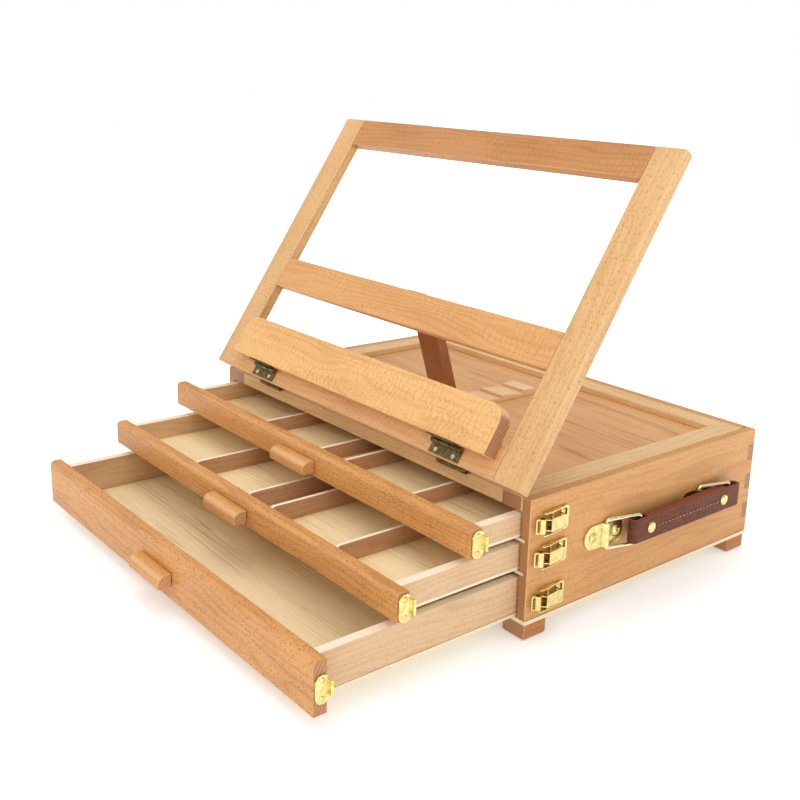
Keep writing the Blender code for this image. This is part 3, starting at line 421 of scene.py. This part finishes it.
def skin(rings, hollow=False):
    """Points and faces of a skin over rings of points: ring i, point j joins ring i + 1, point j + 1.

    Its ends are closed by flat caps, or with hollow the last ring joins the first.
    """
    rings = np.asarray(rings, float)
    count, size = rings.shape[:2]
    index = np.arange(count * size).reshape(count, size)
    near = index if hollow else index[:-1]
    far = np.roll(index, -1, axis=0) if hollow else index[1:]
    quads = np.stack([near, np.roll(near, -1, axis=1), np.roll(far, -1, axis=1), far], axis=-1).reshape(-1, 4)
    faces = quads.tolist()
    if not hollow:
        faces += [index[0, ::-1].tolist(), index[-1].tolist()]
    return rings.reshape(-1, 3), faces


ACROSS, UP = 0, 2                                   # axes that outlines are carried along


def carried(outline, low, high, axis):
    """A flat outline carried straight along an axis from low to high, as two rings."""
    outline = np.asarray(outline, float)
    ends = [np.insert(outline, axis, level, axis=1) for level in (low, high)]
    return skin(ends)


def piece(name, body, skins, material, ease=0.0, steps=2, replaces=(), crease=35.0):
    """One object from several closed skins in the case's millimetres, with its arrises eased by a bevel."""
    points, faces, start = [], [], 0
    for places, sides in skins:
        points.append(places)
        faces += [[corner + start for corner in side] for side in sides]
        start += len(places)
    mesh = bpy.data.meshes.new(name)
    mesh.from_pydata((np.concatenate(points) * MM + CASE).tolist(), [], faces)
    shell = bmesh.new()
    shell.from_mesh(mesh)
    bmesh.ops.recalc_face_normals(shell, faces=shell.faces)
    shell.to_mesh(mesh)
    shell.free()
    mesh.materials.append(material)
    mesh.shade_smooth()
    mesh.set_sharp_from_angle(angle=math.radians(crease))
    made = bpy.data.objects.new(name, mesh)
    bpy.context.scene.collection.objects.link(made)
    if ease:
        bevel = made.modifiers.new("eased", "BEVEL")
        bevel.width = ease * MM
        bevel.segments = steps
        bevel.limit_method = "ANGLE"
        bevel.angle_limit = math.radians(crease)
        bevel.harden_normals = True
    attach(made, body)
    if replaces:
        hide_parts(*replaces)
    return made


LEDGE_HALF = 171.0
LEDGE_WIDTH = (2.5, 39.5)                           # from the ledge hinge's axis, up the frame
LEDGE_THICK = (-2.2, 9.8)
LEDGE_CORNER = 14.0
LEDGE_ARRIS = 1.0
LEDGE_AXIS = np.array([0.0, -8.09, 113.03])
UP_FRAME = np.array([0.0, math.cos(LEAN), math.sin(LEAN)])
OUT_OF_FRAME = np.array([0.0, -math.sin(LEAN), math.cos(LEAN)])
plan = oblong((-LEDGE_HALF, LEDGE_WIDTH[0]), (LEDGE_HALF, LEDGE_WIDTH[1]),
              (LEDGE_ARRIS, LEDGE_ARRIS, LEDGE_CORNER, LEDGE_CORNER), 10)
across = np.outer(plan[:, 0], (1.0, 0.0, 0.0)) + np.outer(plan[:, 1], UP_FRAME) + LEDGE_AXIS
piece("ledge_plank", "ledge", [skin([across + level * OUT_OF_FRAME for level in LEDGE_THICK])],
      beech("ledge", ACROSS_FRAME, "E9B676", "CB8F4E", "915D2A", curl=0.75, flecks=0.7, figure=0.8,
            edge=0.12), 1.3, 3, ["ledge_board"])


# ---------------------------------------------------------------- Drawers
# Overlay front with a rounded upper edge and a half-round pull glued on, on a box of thin pale beech sides
# and back over a plywood bottom. The upper two drawers have four dividers with rounded front corners.
HALF_WIDTH = 205.0                                  # of the case and of the drawers' fronts
FRONT_ROUND = 3.5                                   # a front's upper outer edge
SIDE_THICK = 7.5
FLOOR_THICK = 2.5
DIVIDER_THICK = 3.0
DIVIDER_PLACES = (-82.5, 1.0, 34.0, 118.0)          # from the case's middle
DIVIDER_GAP = 0.3                                   # behind the front
DIVIDER_DROP = 2.5                                  # below the sides' upper edges
DIVIDER_ROUND = 8.0
DRAWER_FRONTS = {"top": ("D69956", "B8783B"), "middle": ("D69956", "B97A3C"), "bottom": ("D99C5A", "BB7C3E")}
FRONT_FLECK = "7E4C2A"

for name, (pale, deep) in DRAWER_FRONTS.items():
    body = name + "_drawer"
    low, high = case_box(name + "_drawer_front")
    profile = oblong(low[1:], high[1:], (0.7, 0.0, 1.5, FRONT_ROUND))
    wood = beech(name + "_front", WITH_X, pale, deep, FRONT_FLECK, figure=1.0, flecks=1.3, edge=0.06,
                 end=("C8925F", "94603A"))
    piece(name + "_front_board", body, [carried(profile, -HALF_WIDTH, HALF_WIDTH, ACROSS)], wood,
          0.5, 2, [name + "_drawer_front"])

    low, high = case_box(name + "_drawer_pull")
    profile = oblong(low[1:], high[1:], (1.5, 0.0, 0.0, (high[2] - low[2]) * 0.6))
    wood = beech(name + "_pull", WITH_X, pale, deep, FRONT_FLECK, figure=0.8, flecks=0.8, edge=0.25,
                 end=("D9A876", "B07848"))
    piece(name + "_pull_strip", body, [carried(profile, low[0], high[0], ACROSS)], wood,
          0.8, 3, [name + "_drawer_pull"])

    low, high = case_box(name + "_drawer_box")
    divided = name != "bottom"
    if divided:
        low[2] += FLOOR_THICK
    back = high[1] - SIDE_THICK
    boards = (("left", low[:2], (low[0] + SIDE_THICK, high[1]), WITH_Y),
              ("right", (high[0] - SIDE_THICK, low[1]), high[:2], WITH_Y),
              ("back", (low[0] + SIDE_THICK, back), (high[0] - SIDE_THICK, high[1]), WITH_X))
    for side, near, far, turn in boards:
        # Their upper faces are painted near white and their arrises paler, as painted light and painted
        # highlight.
        wood = beech(f"{name}_{side}_wood", turn, "DEBB91", "C39465", "9B6D44", figure=0.7,
                     flecks=0.5, edge=0.3, top=0.75)
        piece(f"{name}_drawer_{side}_board", body, [carried(oblong(near, far), low[2], high[2], UP)], wood,
              0.5, 2, [name + "_drawer_box"])
    if divided:
        profile = oblong((low[1] + DIVIDER_GAP, low[2]), (back, high[2] - DIVIDER_DROP),
                         (0.0, 0.0, 0.0, DIVIDER_ROUND))
        for number, x in enumerate(DIVIDER_PLACES):
            # Their upper faces are painted near white and their arrises paler, as painted light and painted
            # highlight.
            wood = beech(f"{name}_divider_wood_{number}", WITH_Y, "C79A74", "A2734E", "80563A", figure=0.6,
                         flecks=0.5, edge=0.5, top=0.95)
            board = carried(profile, x - DIVIDER_THICK / 2, x + DIVIDER_THICK / 2, ACROSS)
            piece(f"{name}_divider_{number}", body, [board], wood, 0.5, 2)
        panel = carried(oblong(low[:2], high[:2]), low[2] - FLOOR_THICK, low[2], UP)
        piece(name + "_drawer_floor_panel", body, [panel],
              plywood(name + "_floor", WITH_X, "FFEBBC", "D9AF78", 0.6), 0.3, 1)
dress("bottom_drawer_bottom", plywood("bottom_drawer_bottom", WITH_X, "FFEBBE", "BE9560", 0.55))


# ---------------------------------------------------------------- Brass finish
# Sheet brass, stamped and polished, on the catches, latches and handle plates. It has faint rubbed patches
# and rolling lines.
def make_rubbed():
    """Handled metal in millimetres: cloudy patches and fine directionless scratches, from 0 to 1."""
    tree, given, out = group("rubbed", [("Vector", "Vector", None)],
                             [("Cloud", "Float"), ("Scratch", "Float")])
    at = given["Vector"]
    tree.links.new(step(tree, noise(tree, at, 0.22, 3.0, 0.6), 0.3, 0.7), out.inputs["Cloud"])
    tree.links.new(noise(tree, stretch(tree, at, (0.5, 0.5, 6.0)), 1.0, 3.0, 0.7), out.inputs["Scratch"])
    return tree


RUBBED = make_rubbed()


def metal(name, bright, dull, low_rough, high_rough):
    """Metal whose colour and roughness vary with the rubbed patches."""
    material, tree, shader = blank(name)
    at, _ = board_axes(tree, WITH_X, (0.0, 0.0, 0.0))
    worn = node(tree, "ShaderNodeGroup", {"Vector": at}, node_tree=RUBBED).outputs
    tree.links.new(mix(tree, worn["Cloud"], shade(bright), shade(dull)), shader.inputs["Base Color"])
    rough = calc(tree, "MULTIPLY_ADD", worn["Scratch"], high_rough - low_rough, low_rough)
    tree.links.new(rough, shader.inputs["Roughness"])
    shader.inputs["Metallic"].default_value = 1.0
    emboss(tree, shader, worn["Scratch"], 0.2, 0.00003)
    return material


BRASS = metal("bright_brass", "F3E6A6", "DEC878", 0.14, 0.32)
WIRE_METAL = metal("ring_wire", "FFF3D0", "EAD9A8", 0.14, 0.3)
ANTIQUE = metal("antique_brass", "8C7C50", "55492C", 0.28, 0.5)
SHEET_CREASE = 40.0                                 # sharpest angle in degrees that is shaded smooth
ROUND_CREASE = 60.0


def ring_of(outline, inner, low, high, axis):
    """A plate with a window: outer and inner outlines at both levels, as one closed loop of four rings."""
    sides = ((outline, low), (outline, high), (inner, high), (inner, low))
    rings = [np.insert(np.asarray(side, float), axis, level, axis=1) for side, level in sides]
    return skin(rings, hollow=True)


def screw(centre, normal, along, radius, dome, slot_width=0.55, slot_depth=0.45):
    """A domed cross-head screw: height is dome * sqrt(1 - 0.92 r^2), less the slots' depth inside the cross.

    The cross is where the smaller of |x| and |y| is under the slots' width, out to 0.62 of the radius.
    """
    spread = np.linspace(0.0, 1.0, 13)[1:][:, None]
    angle = np.linspace(0.0, 2 * math.pi, 40, endpoint=False)[None, :]
    x = radius * spread * np.cos(angle)
    y = radius * spread * np.sin(angle)
    reach = radius * 0.62
    narrow = np.minimum(np.abs(x), np.abs(y))
    wide = np.maximum(np.abs(x), np.abs(y))
    cross = np.clip((slot_width - narrow) / 0.12, 0, 1) * np.clip((reach - wide) / 0.2, 0, 1)
    height = dome * np.sqrt(1 - 0.92 * spread ** 2) - slot_depth * cross
    normal = np.array(normal, float)
    normal /= np.linalg.norm(normal)
    first = np.array(along, float)
    first /= np.linalg.norm(first)
    second = np.cross(normal, first)
    rings = (np.array(centre, float) + x[..., None] * first + y[..., None] * second
             + height[..., None] * normal)
    foot = rings[-1] - (height[-1][:, None] + 0.05) * normal
    return skin(np.concatenate([rings, foot[None]]))


# ---------------------------------------------------------------- Drawer catches
# On each front's right end, an oblong brass plate with two screws. Its back edge stands up as a lip with a
# curled rim, which the latch's claw hooks over.
OUTWARDS = (1, 0, 0)
SLANTED = (0, 0.7, 0.7)                             # a cross-head's slots, as it was left
WALL_FACE = 205.3                                   # brass stands a hair off the wood
SHEET = 1.0
CATCH_WIDTH = 10.2
CATCH_ROUND = 4.9
CATCH_SCREWS = (4.6, 6.2)                           # back from the plate's front, and up or down
LIP_HEIGHT = 10.6
LIP_HALF_SHEET = 0.4
LIP_PATH = ((0.2, -1.6), (0.7, -0.55), (1.5, -0.25), (2.6, -0.15), (3.2, 0.1), (3.7, 0.55), (3.6, 1.0))
for name in DRAWER_FRONTS:
    low, high = case_box(name + "_catch")
    front = low[1]
    back = front + CATCH_WIDTH
    middle = (low[2] + high[2]) / 2
    plate = oblong((front, low[2]), (back, high[2]), (CATCH_ROUND,) * 4, 10)
    path = np.array(LIP_PATH) + (WALL_FACE, back)   # out from the wood, and back from the plate's rear edge
    side = np.gradient(path, axis=0)
    side = np.stack([side[:, 1], -side[:, 0]], axis=1) / np.linalg.norm(side, axis=1, keepdims=True)
    band = np.concatenate([path + side * LIP_HALF_SHEET, (path - side * LIP_HALF_SHEET)[::-1]])
    skins = [carried(plate, WALL_FACE, WALL_FACE + SHEET, ACROSS),
             carried(band, middle - LIP_HEIGHT / 2, middle + LIP_HEIGHT / 2, UP)]
    for sign in (-1, 1):
        place = (WALL_FACE + SHEET, front + CATCH_SCREWS[0], middle + sign * CATCH_SCREWS[1])
        skins.append(screw(place, OUTWARDS, SLANTED, 2.2, 1.0))
    piece(name + "_catch_plate", name + "_drawer", skins, BRASS, 0.25, 2, [name + "_catch"],
          SHEET_CREASE)


# ---------------------------------------------------------------- Latches
# On the right wall beside each drawer: a stamped base with a raised rim, a window and two screws, a six-sided
# thumb lever on its ears, and a claw whose polished barrel lies over the catch's lip.
BASE_LENGTH = (19.5, 36.5)                          # back from the case's front
WINDOW_LENGTH = (21.4, 34.6)
BASE_RIM = 1.7
EAR_INSET = 0.6
EAR_HALF_SHEET = 0.35
BASE_SCREWS = (31.4, 4.2)                           # back from the case's front, and in from the base's sides
LEVER_LENGTH = (14.4, 33.4)
LEVER_OUT = 211.2                                   # its front end from the case's middle
LEVER_FALL = 3.0                                    # and how much nearer to the wall its rear end is
LEVER_SHEET = 0.95
LEVER_TAPER = 4.5                                   # length of its narrowing rear end
ARMS_DROP = 0.4                                     # below the base's middle
FLANGE_PLACE, FLANGE_HALF_SHEET = 3.9, 0.45
BARREL = np.array([208.5, 8.4])                     # axis, out from the case's middle and back from its front
BARREL_OUTSIDE, BARREL_INSIDE = 2.6, 1.7
BARREL_TURN = (-140, 175)
BARREL_HALF = 5.4
TIP_PLACE, TIP_HALF_SHEET = 4.9, 0.55
ARM_PLACE, ARM_HALF_SHEET = 2.2, 0.5
CLAW_LIP_HALF = 5.2
# Outlines of (out from the case's middle, back from its front, radius); an ear's is out from the wall.
EAR = [(0.3, 10.5, 1.0), (0.3, 34.0, 0.0), (1.8, 34.0, 0.0), (4.2, 18.0, 2.0), (4.4, 10.5, 1.8)]
FLANGE = [(206.0, 11.8, 1.2), (208.6, 11.8, 1.2), (211.3, 14.5, 0.5), (209.0, 29.0, 0.3), (207.4, 29.0, 0.3),
          (207.0, 15.0, 0.8)]
CLAW_TIP = [(207.0, 3.7, 0.5), (208.0, 3.7, 0.5), (208.6, 6.6, 0.0), (207.2, 6.6, 0.0)]
CLAW_ARM = [(207.4, 10.2, 0.0), (208.8, 10.0, 0.0), (209.0, 18.2, 0.5), (208.0, 18.6, 0.4)]
CLAW_LIP = [(207.0, 3.3, 0.5), (208.0, 3.3, 0.5), (208.1, 4.4, 0.3), (207.1, 4.4, 0.3)]


def layer(outline, place, half_sheet):
    """A flat outline as a sheet that stands level, half of it below its place and half above."""
    return carried(outline, place - half_sheet, place + half_sheet, UP)


for name in DRAWER_FRONTS:
    low, high = case_box(name + "_latch_base")
    middle = (low[2] + high[2]) / 2
    half = (high[2] - low[2]) / 2
    outline = oblong((BASE_LENGTH[0], middle - half), (BASE_LENGTH[1], middle + half),
                     (1.0, 2.4, 2.4, 1.0), 5)
    inner = oblong((WINDOW_LENGTH[0], middle - half + BASE_RIM), (WINDOW_LENGTH[1], middle + half - BASE_RIM),
                   (0.8, 1.6, 1.6, 0.8), 5)
    skins = [ring_of(outline, inner, WALL_FACE, WALL_FACE + BASE_RIM, ACROSS)]
    for sign in (-1, 1):
        ear = rounded(EAR, 6) + (HALF_WIDTH, 0.0)
        skins.append(layer(ear, middle + sign * (half - EAR_INSET), EAR_HALF_SHEET))
    for height in (middle + half - BASE_SCREWS[1], middle - half + BASE_SCREWS[1]):
        skins.append(screw((WALL_FACE + 0.5, BASE_SCREWS[0], height), OUTWARDS, SLANTED, 2.3, 1.1))
    piece(name + "_latch_frame", "case", skins, BRASS, 0.25, 2, [name + "_latch_base"],
          SHEET_CREASE)

    front, rear = LEVER_LENGTH
    shoulder = rear - LEVER_TAPER
    plan = rounded([(front, middle - 5.2, 0.6), (shoulder, middle - 5.6, 1.0), (rear, middle - 3.8, 1.0),
                    (rear, middle + 2.4, 1.0), (shoulder, middle + 4.2, 1.0), (front, middle + 4.6, 0.6)], 4)
    out = LEVER_OUT - (plan[:, 0] - front) / (rear - front) * LEVER_FALL
    lower = np.stack([out, plan[:, 0], plan[:, 1]], axis=1)
    skins = [skin([lower, lower + (LEVER_SHEET, 0.0, 0.0)])]
    for sign in (-1, 1):
        skins.append(layer(rounded(FLANGE, 4), middle - ARMS_DROP + sign * FLANGE_PLACE, FLANGE_HALF_SHEET))
    piece(name + "_lever_plate", name + "_lever", skins, BRASS, 0.3, 2,
          [name + "_latch_lever"], SHEET_CREASE)

    turn = np.linspace(*(math.radians(angle) for angle in BARREL_TURN), 22)
    round_barrel = np.stack([np.cos(turn), np.sin(turn)], axis=1)
    outside, inside = (BARREL + radius * round_barrel for radius in (BARREL_OUTSIDE, BARREL_INSIDE))
    curl = np.concatenate([outside, inside[::-1]])
    skins = [layer(curl, middle, BARREL_HALF)]
    for sign in (-1, 1):
        skins.append(layer(rounded(CLAW_TIP, 3), middle + sign * TIP_PLACE, TIP_HALF_SHEET))
        skins.append(layer(rounded(CLAW_ARM, 4), middle - ARMS_DROP + sign * ARM_PLACE, ARM_HALF_SHEET))
    skins.append(layer(rounded(CLAW_LIP, 3), middle, CLAW_LIP_HALF))
    piece(name + "_claw_barrel", name + "_claw", skins, BRASS, 0.15, 2,
          [name + "_latch_claw"], SHEET_CREASE)


# ---------------------------------------------------------------- Handle plates and rings
# Two strips of sheet brass, arched over the rings' near bars and held by two screws each, and two wire rings
# bent to round-cornered rectangles.
HANDLE_HEIGHT = 49.8
RING_HINGES = (78.0, 189.0)                         # back from the case's front
RING_OUT = 2.0                                      # hinge's axis, out from the wall
PLATE_OUT = 1.5                                     # a plate's outer face, out from the wall
PLATE_SHEET = 1.2
ARCH = 3.0                                          # radius of a plate's arch over the ring's bar
PLATE_ROUNDS = (9.3, 6.0)                           # a plate's front and rear ends
PLATE_SCREWS = (-13.0, 12.0)                        # back from the ring's axis
WIRE = 1.4                                          # its radius
RING_REACH = 30.4
RING_HALF = 11.2
RING_BEND = 2.6
RING_ANGLE = math.radians(15.6)
for name, hinge in zip(("front", "rear"), RING_HINGES):
    low, high = case_box(name + "_handle_plate")
    y = low[1] + (high[1] - low[1]) * np.linspace(0.0, 1.0, 61)
    past = np.abs(y - hinge)
    arch = np.sqrt(np.clip(ARCH ** 2 - past ** 2, 0, None)) + RING_OUT
    out = HALF_WIDTH + np.maximum(PLATE_OUT, arch * (past < ARCH))
    ends = np.minimum(y - low[1], high[1] - y)
    corner = np.where(y < hinge, *PLATE_ROUNDS)
    inset = np.clip(corner - ends, 0, corner)
    half = (high[2] - low[2]) / 2 - (corner - np.sqrt(np.clip(corner ** 2 - inset ** 2, 0, None)))
    half = np.maximum(half, 0.6)
    up = np.array([-1.0, -1.0, 1.0, 1.0])
    sunk = np.array([0.0, -PLATE_SHEET, -PLATE_SHEET, 0.0])
    places = (out[:, None] + sunk, y[:, None], HANDLE_HEIGHT + half[:, None] * up)
    skins = [skin(np.stack(np.broadcast_arrays(*places), axis=-1))]
    for past_hinge in PLATE_SCREWS:
        place = (HALF_WIDTH + PLATE_OUT, hinge + past_hinge, HANDLE_HEIGHT)
        skins.append(screw(place, OUTWARDS, (0, 0.8, 0.6), 4.0, 1.9, 0.7, 0.9))
    piece(name + "_handle_strip", "case", skins, BRASS, 0.2, 2, [name + "_handle_plate"],
          SHEET_CREASE)

    path = oblong((0.0, -RING_HALF), (RING_REACH, RING_HALF), (RING_BEND,) * 4)
    ahead = np.roll(path, -1, axis=0) - np.roll(path, 1, axis=0)
    ahead /= np.linalg.norm(ahead, axis=1, keepdims=True)
    turn = np.linspace(0, 2 * math.pi, 16, endpoint=False)
    sideways = np.stack([ahead[:, 1], -ahead[:, 0]], axis=1)
    flat = path[:, None, :] + WIRE * np.cos(turn)[None, :, None] * sideways[:, None, :]
    away = WIRE * np.sin(turn)
    back = flat[..., 0] * math.cos(RING_ANGLE) - away * math.sin(RING_ANGLE)
    off_wall = flat[..., 0] * math.sin(RING_ANGLE) + away * math.cos(RING_ANGLE)
    rings = np.stack([HALF_WIDTH + RING_OUT + off_wall, hinge + back, HANDLE_HEIGHT + flat[..., 1]], axis=-1)
    piece(name + "_ring", name + "_ring", [skin(rings, hollow=True)], WIRE_METAL, 0.0, 2,
          [name + "_handle_ring"], ROUND_CREASE)


# ---------------------------------------------------------------- Leather strap
# One long piece of reddish-brown grained leather, folded round both rings' far bars over a filling strip,
# with a line of stitches along its middle and two domed brass rivets. Its cut edges are paler and redder.
RAW_EDGE = "8A4A34"


def leather(name, dark, light):
    """Grained leather: pebbles are Voronoi cells of about 1.2 mm with creases between, tinted in patches."""
    material, tree, shader = blank(name)
    at, normal = board_axes(tree, WITH_X, (0.0, 0.0, 0.0))
    pebbles = node(tree, "ShaderNodeTexVoronoi", {"Vector": at, "Scale": 0.85}, feature="SMOOTH_F1")
    creases = pebbles.outputs["Distance"]
    cloud = noise(tree, stretch(tree, at, (0.2, 0.06, 0.2)), 1.0, 4.0, 0.65)
    tint = calc(tree, "MULTIPLY_ADD", cloud, 1.1, -0.75)
    # Painted shade: the creases between the pebbles are painted darker.
    share = calc(tree, "MULTIPLY_ADD", creases, 1.3, tint, clamp=True)
    raw = calc(tree, "MULTIPLY", calc(tree, "ABSOLUTE", part(tree, normal, 2)), 0.75)
    tanned = mix(tree, share, shade(light), shade(dark))
    tree.links.new(mix(tree, raw, tanned, shade(RAW_EDGE)), shader.inputs["Base Color"])
    shader.inputs["Roughness"].default_value = 0.55
    shader.inputs["Specular IOR Level"].default_value = 0.3
    emboss(tree, shader, calc(tree, "MULTIPLY_ADD", creases, -1.0, cloud), 0.8, 0.0004)
    return material


STRAP_PLACE = np.array([215.175, 107.28, 49.8])     # middle of the front ring's far bar
STRAP_SPAN = 111.0                                  # between the two far bars
STRAP_HALF = 9.3                                    # half its width
STRAP_OUT = 4.25                                    # half its thickness, folded
STRAP_LOOP = 11.4                                   # past each far bar
LEATHER = 2.45
FILLING_HALF = 9.0
FILLING_GAP = 6.0                                   # from each far bar
RIVETS = (8.6, 99.8)                                # back from the front ring's far bar, as are the stitches
STITCHES = np.arange(17.0, 93.0, 4.3)
STITCH_HALF = 1.45
THREAD = 0.6


def strap_plan(out, near, far, bend, steps=10):
    """Closed outline of the strap or its filling from above, with a round at each corner."""
    return rounded([(out, near, bend), (out, far, bend), (-out, far, bend), (-out, near, bend)],
                   steps) + STRAP_PLACE[:2]


hole = STRAP_OUT - LEATHER
outer = strap_plan(STRAP_OUT, -STRAP_LOOP, STRAP_SPAN + STRAP_LOOP, 4.0)
inner = strap_plan(hole, LEATHER - STRAP_LOOP, STRAP_SPAN + STRAP_LOOP - LEATHER, 1.6)
wrap = ring_of(outer, inner, STRAP_PLACE[2] - STRAP_HALF, STRAP_PLACE[2] + STRAP_HALF, UP)
piece("strap_wrap", "strap", [wrap], leather("strap_leather", "34160A", "7A4226"), 0.7, 3,
      ["handle_strap"])
filling = strap_plan(hole, FILLING_GAP, STRAP_SPAN - FILLING_GAP, 1.0, 4)
piece("strap_filling", "strap", [layer(filling, STRAP_PLACE[2], FILLING_HALF)],
      leather("strap_edge", "5C2210", "994425"), 0.3, 2)

stitches = []
turn = np.linspace(0, 2 * math.pi, 8, endpoint=False)
along = np.linspace(-1.0, 1.0, 7)[:, None]
thick = THREAD * np.sqrt(np.clip(1.05 - along ** 2, 0.02, None))
for y in STITCHES:
    places = (STRAP_OUT + 0.25 + thick * np.cos(turn), y + STITCH_HALF * along, thick * np.sin(turn))
    stitches.append(skin(np.stack(np.broadcast_arrays(*places), axis=-1) + STRAP_PLACE))
thread = metal("thread", "B4876C", "94644C", 0.7, 0.85)
thread.node_tree.nodes["Principled BSDF"].inputs["Metallic"].default_value = 0.0
piece("strap_stitches", "strap", stitches, thread, 0.0, 2, (), ROUND_CREASE)
rivets = [screw(STRAP_PLACE + (STRAP_OUT, y, 0.0), OUTWARDS, (0, 1, 0), 4.4, 1.5, 0.0, 0.0) for y in RIVETS]
piece("strap_rivets", "strap", rivets, BRASS, 0.0, 2, (), ROUND_CREASE)


# ---------------------------------------------------------------- Hinges
# Steel butt hinges with an antique brass finish: two at the frame's foot, two under the ledge and one on the
# prop. Each leaf has two bright countersunk screws.
for side in ("left", "right"):
    for kind in ("frame", "ledge"):
        for leaf in ("fixed", "moving"):
            dress(f"{side}_{kind}_hinge_{leaf}_leaf", ANTIQUE)
for leaf in ("fixed", "moving"):
    dress(f"prop_hinge_{leaf}_leaf", ANTIQUE)
SCREW_METAL = metal("screw_steel", "E8E0C8", "B8AC8C", 0.2, 0.35)
HINGE_PLACE = 125.0                                 # each side of the case's middle
LEAF_SCREWS = (-9.5, 9.5)                           # each side of the hinge's middle
RIM_LEAF = (6.2, 95.6)                              # back from the case's front, and up
LEDGE_LEAF = LEDGE_AXIS - 6.0 * UP_FRAME - 1.2 * OUT_OF_FRAME
for side, sign in (("left", -1), ("right", 1)):
    ledge_screws, rim_screws = [], []
    for offset in LEAF_SCREWS:
        x = sign * HINGE_PLACE + offset
        rim_screws.append(screw((x, *RIM_LEAF), (0, 0, 1), (0.7, 0.7, 0), 2.2, 0.7))
        ledge_screws.append(screw(LEDGE_LEAF + (x, 0, 0), OUT_OF_FRAME, (1, 0, 0), 1.9, 0.6))
    piece(side + "_rim_screws", "case", rim_screws, SCREW_METAL, 0.0, 2, (), ROUND_CREASE)
    piece(side + "_ledge_screws", "easel_frame", ledge_screws, SCREW_METAL, 0.0, 2, (),
          ROUND_CREASE)


# ---------------------------------------------------------------- Studio
# A white floor and three broad soft lights, from the front left, the right and above.
CAMERA_TARGET = Vector((0.02036, 0.0310, 0.15625))
CAMERA_AZIMUTH = math.radians(49.06)
CAMERA_ELEVATION = math.radians(14.91)
CAMERA_ROLL = math.radians(2.02)
CAMERA_DISTANCE = 0.87515
CAMERA_LENS = 47.45
CAMERA_SHIFT = (-0.0539, -0.0523)

camera = bpy.data.objects.new("camera", bpy.data.cameras.new("camera"))
bpy.context.scene.collection.objects.link(camera)
away = Vector((math.sin(CAMERA_AZIMUTH) * math.cos(CAMERA_ELEVATION),
               -math.cos(CAMERA_AZIMUTH) * math.cos(CAMERA_ELEVATION), math.sin(CAMERA_ELEVATION)))
level_right = Vector((0.0, 0.0, 1.0)).cross(away).normalized()
level_up = away.cross(level_right)
right = level_right * math.cos(CAMERA_ROLL) + level_up * math.sin(CAMERA_ROLL)
up = -level_right * math.sin(CAMERA_ROLL) + level_up * math.cos(CAMERA_ROLL)
turn = Matrix((right, up, away)).transposed().to_4x4()
camera.matrix_world = Matrix.Translation(CAMERA_TARGET + away * CAMERA_DISTANCE) @ turn
camera.data.lens = CAMERA_LENS
camera.data.sensor_width = 36.0
camera.data.shift_x, camera.data.shift_y = CAMERA_SHIFT
bpy.context.scene.camera = camera


LAMP_COLOUR = (1.0, 0.97, 0.93)


def light(name, place, aim, size, power):
    """A square soft light that looks at a point."""
    lamp = bpy.data.lights.new(name, "AREA")
    lamp.size = size
    lamp.energy = power
    lamp.color = LAMP_COLOUR
    made = bpy.data.objects.new(name, lamp)
    bpy.context.scene.collection.objects.link(made)
    made.location = place
    made.rotation_euler = (Vector(aim) - Vector(place)).to_track_quat("-Z", "Y").to_euler()
    made.visible_camera = False


light("key", (-0.5, -1.7, 1.7), (0.0, 0.0, 0.12), 1.4, 8.2)
light("side", (1.9, -0.5, 0.8), (0.2, 0.1, 0.05), 1.2, 6.9)
light("top", (0.1, -0.2, 2.2), (0.0, -0.05, 0.05), 1.6, 12.5)

# The camera sees white, and reflections see a room that is darker low down and has upright dark panels.
LOW_WALL = (0.42, 0.40, 0.38, 1.0)
PANEL = (0.10, 0.09, 0.08, 1.0)
world = bpy.data.worlds.new("studio")
bpy.context.scene.world = world
world.use_nodes = True
sky = world.node_tree
around = node(sky, "ShaderNodeTexCoord").outputs["Generated"]
seen = node(sky, "ShaderNodeLightPath").outputs["Is Camera Ray"]
room = mix(sky, step(sky, part(sky, around, 2), -0.25, 0.75), LOW_WALL, WHITE)
panels = step(sky, calc(sky, "SINE", calc(sky, "MULTIPLY", part(sky, around, 0), 9.0)), -0.2, 0.3)
room = mix(sky, calc(sky, "MULTIPLY", panels, 0.5), room, PANEL)
sky.links.new(mix(sky, seen, room, WHITE), sky.nodes["Background"].inputs["Color"])
sky.nodes["Background"].inputs["Strength"].default_value = 1.0

# The floor glows more with distance, so that it meets the white behind it without a horizon.
FLOOR_HALF = 6.0
FLOOR_DROP = 0.0005                                 # just below the feet
floor_plan = oblong((-FLOOR_HALF, -FLOOR_HALF), (FLOOR_HALF, FLOOR_HALF)).tolist()
floor_mesh = bpy.data.meshes.new("floor")
floor_mesh.from_pydata([(*corner, -FLOOR_DROP) for corner in floor_plan], [], [(0, 1, 2, 3)])
floor = bpy.data.objects.new("floor", floor_mesh)
bpy.context.scene.collection.objects.link(floor)
paper, sweep, shader = blank("floor")
reach = length(sweep, node(sweep, "ShaderNodeTexCoord").outputs["Object"])
glow = calc(sweep, "MULTIPLY_ADD", step(sweep, reach, 0.2, 0.9), 0.75, 0.25)
sweep.links.new(glow, shader.inputs["Emission Strength"])
shader.inputs["Emission Color"].default_value = WHITE
shader.inputs["Base Color"].default_value = (0.9, 0.93, 0.97, 1.0)
shader.inputs["Roughness"].default_value = 0.9
floor_mesh.materials.append(paper)
bpy.context.scene.view_settings.view_transform = "Standard"
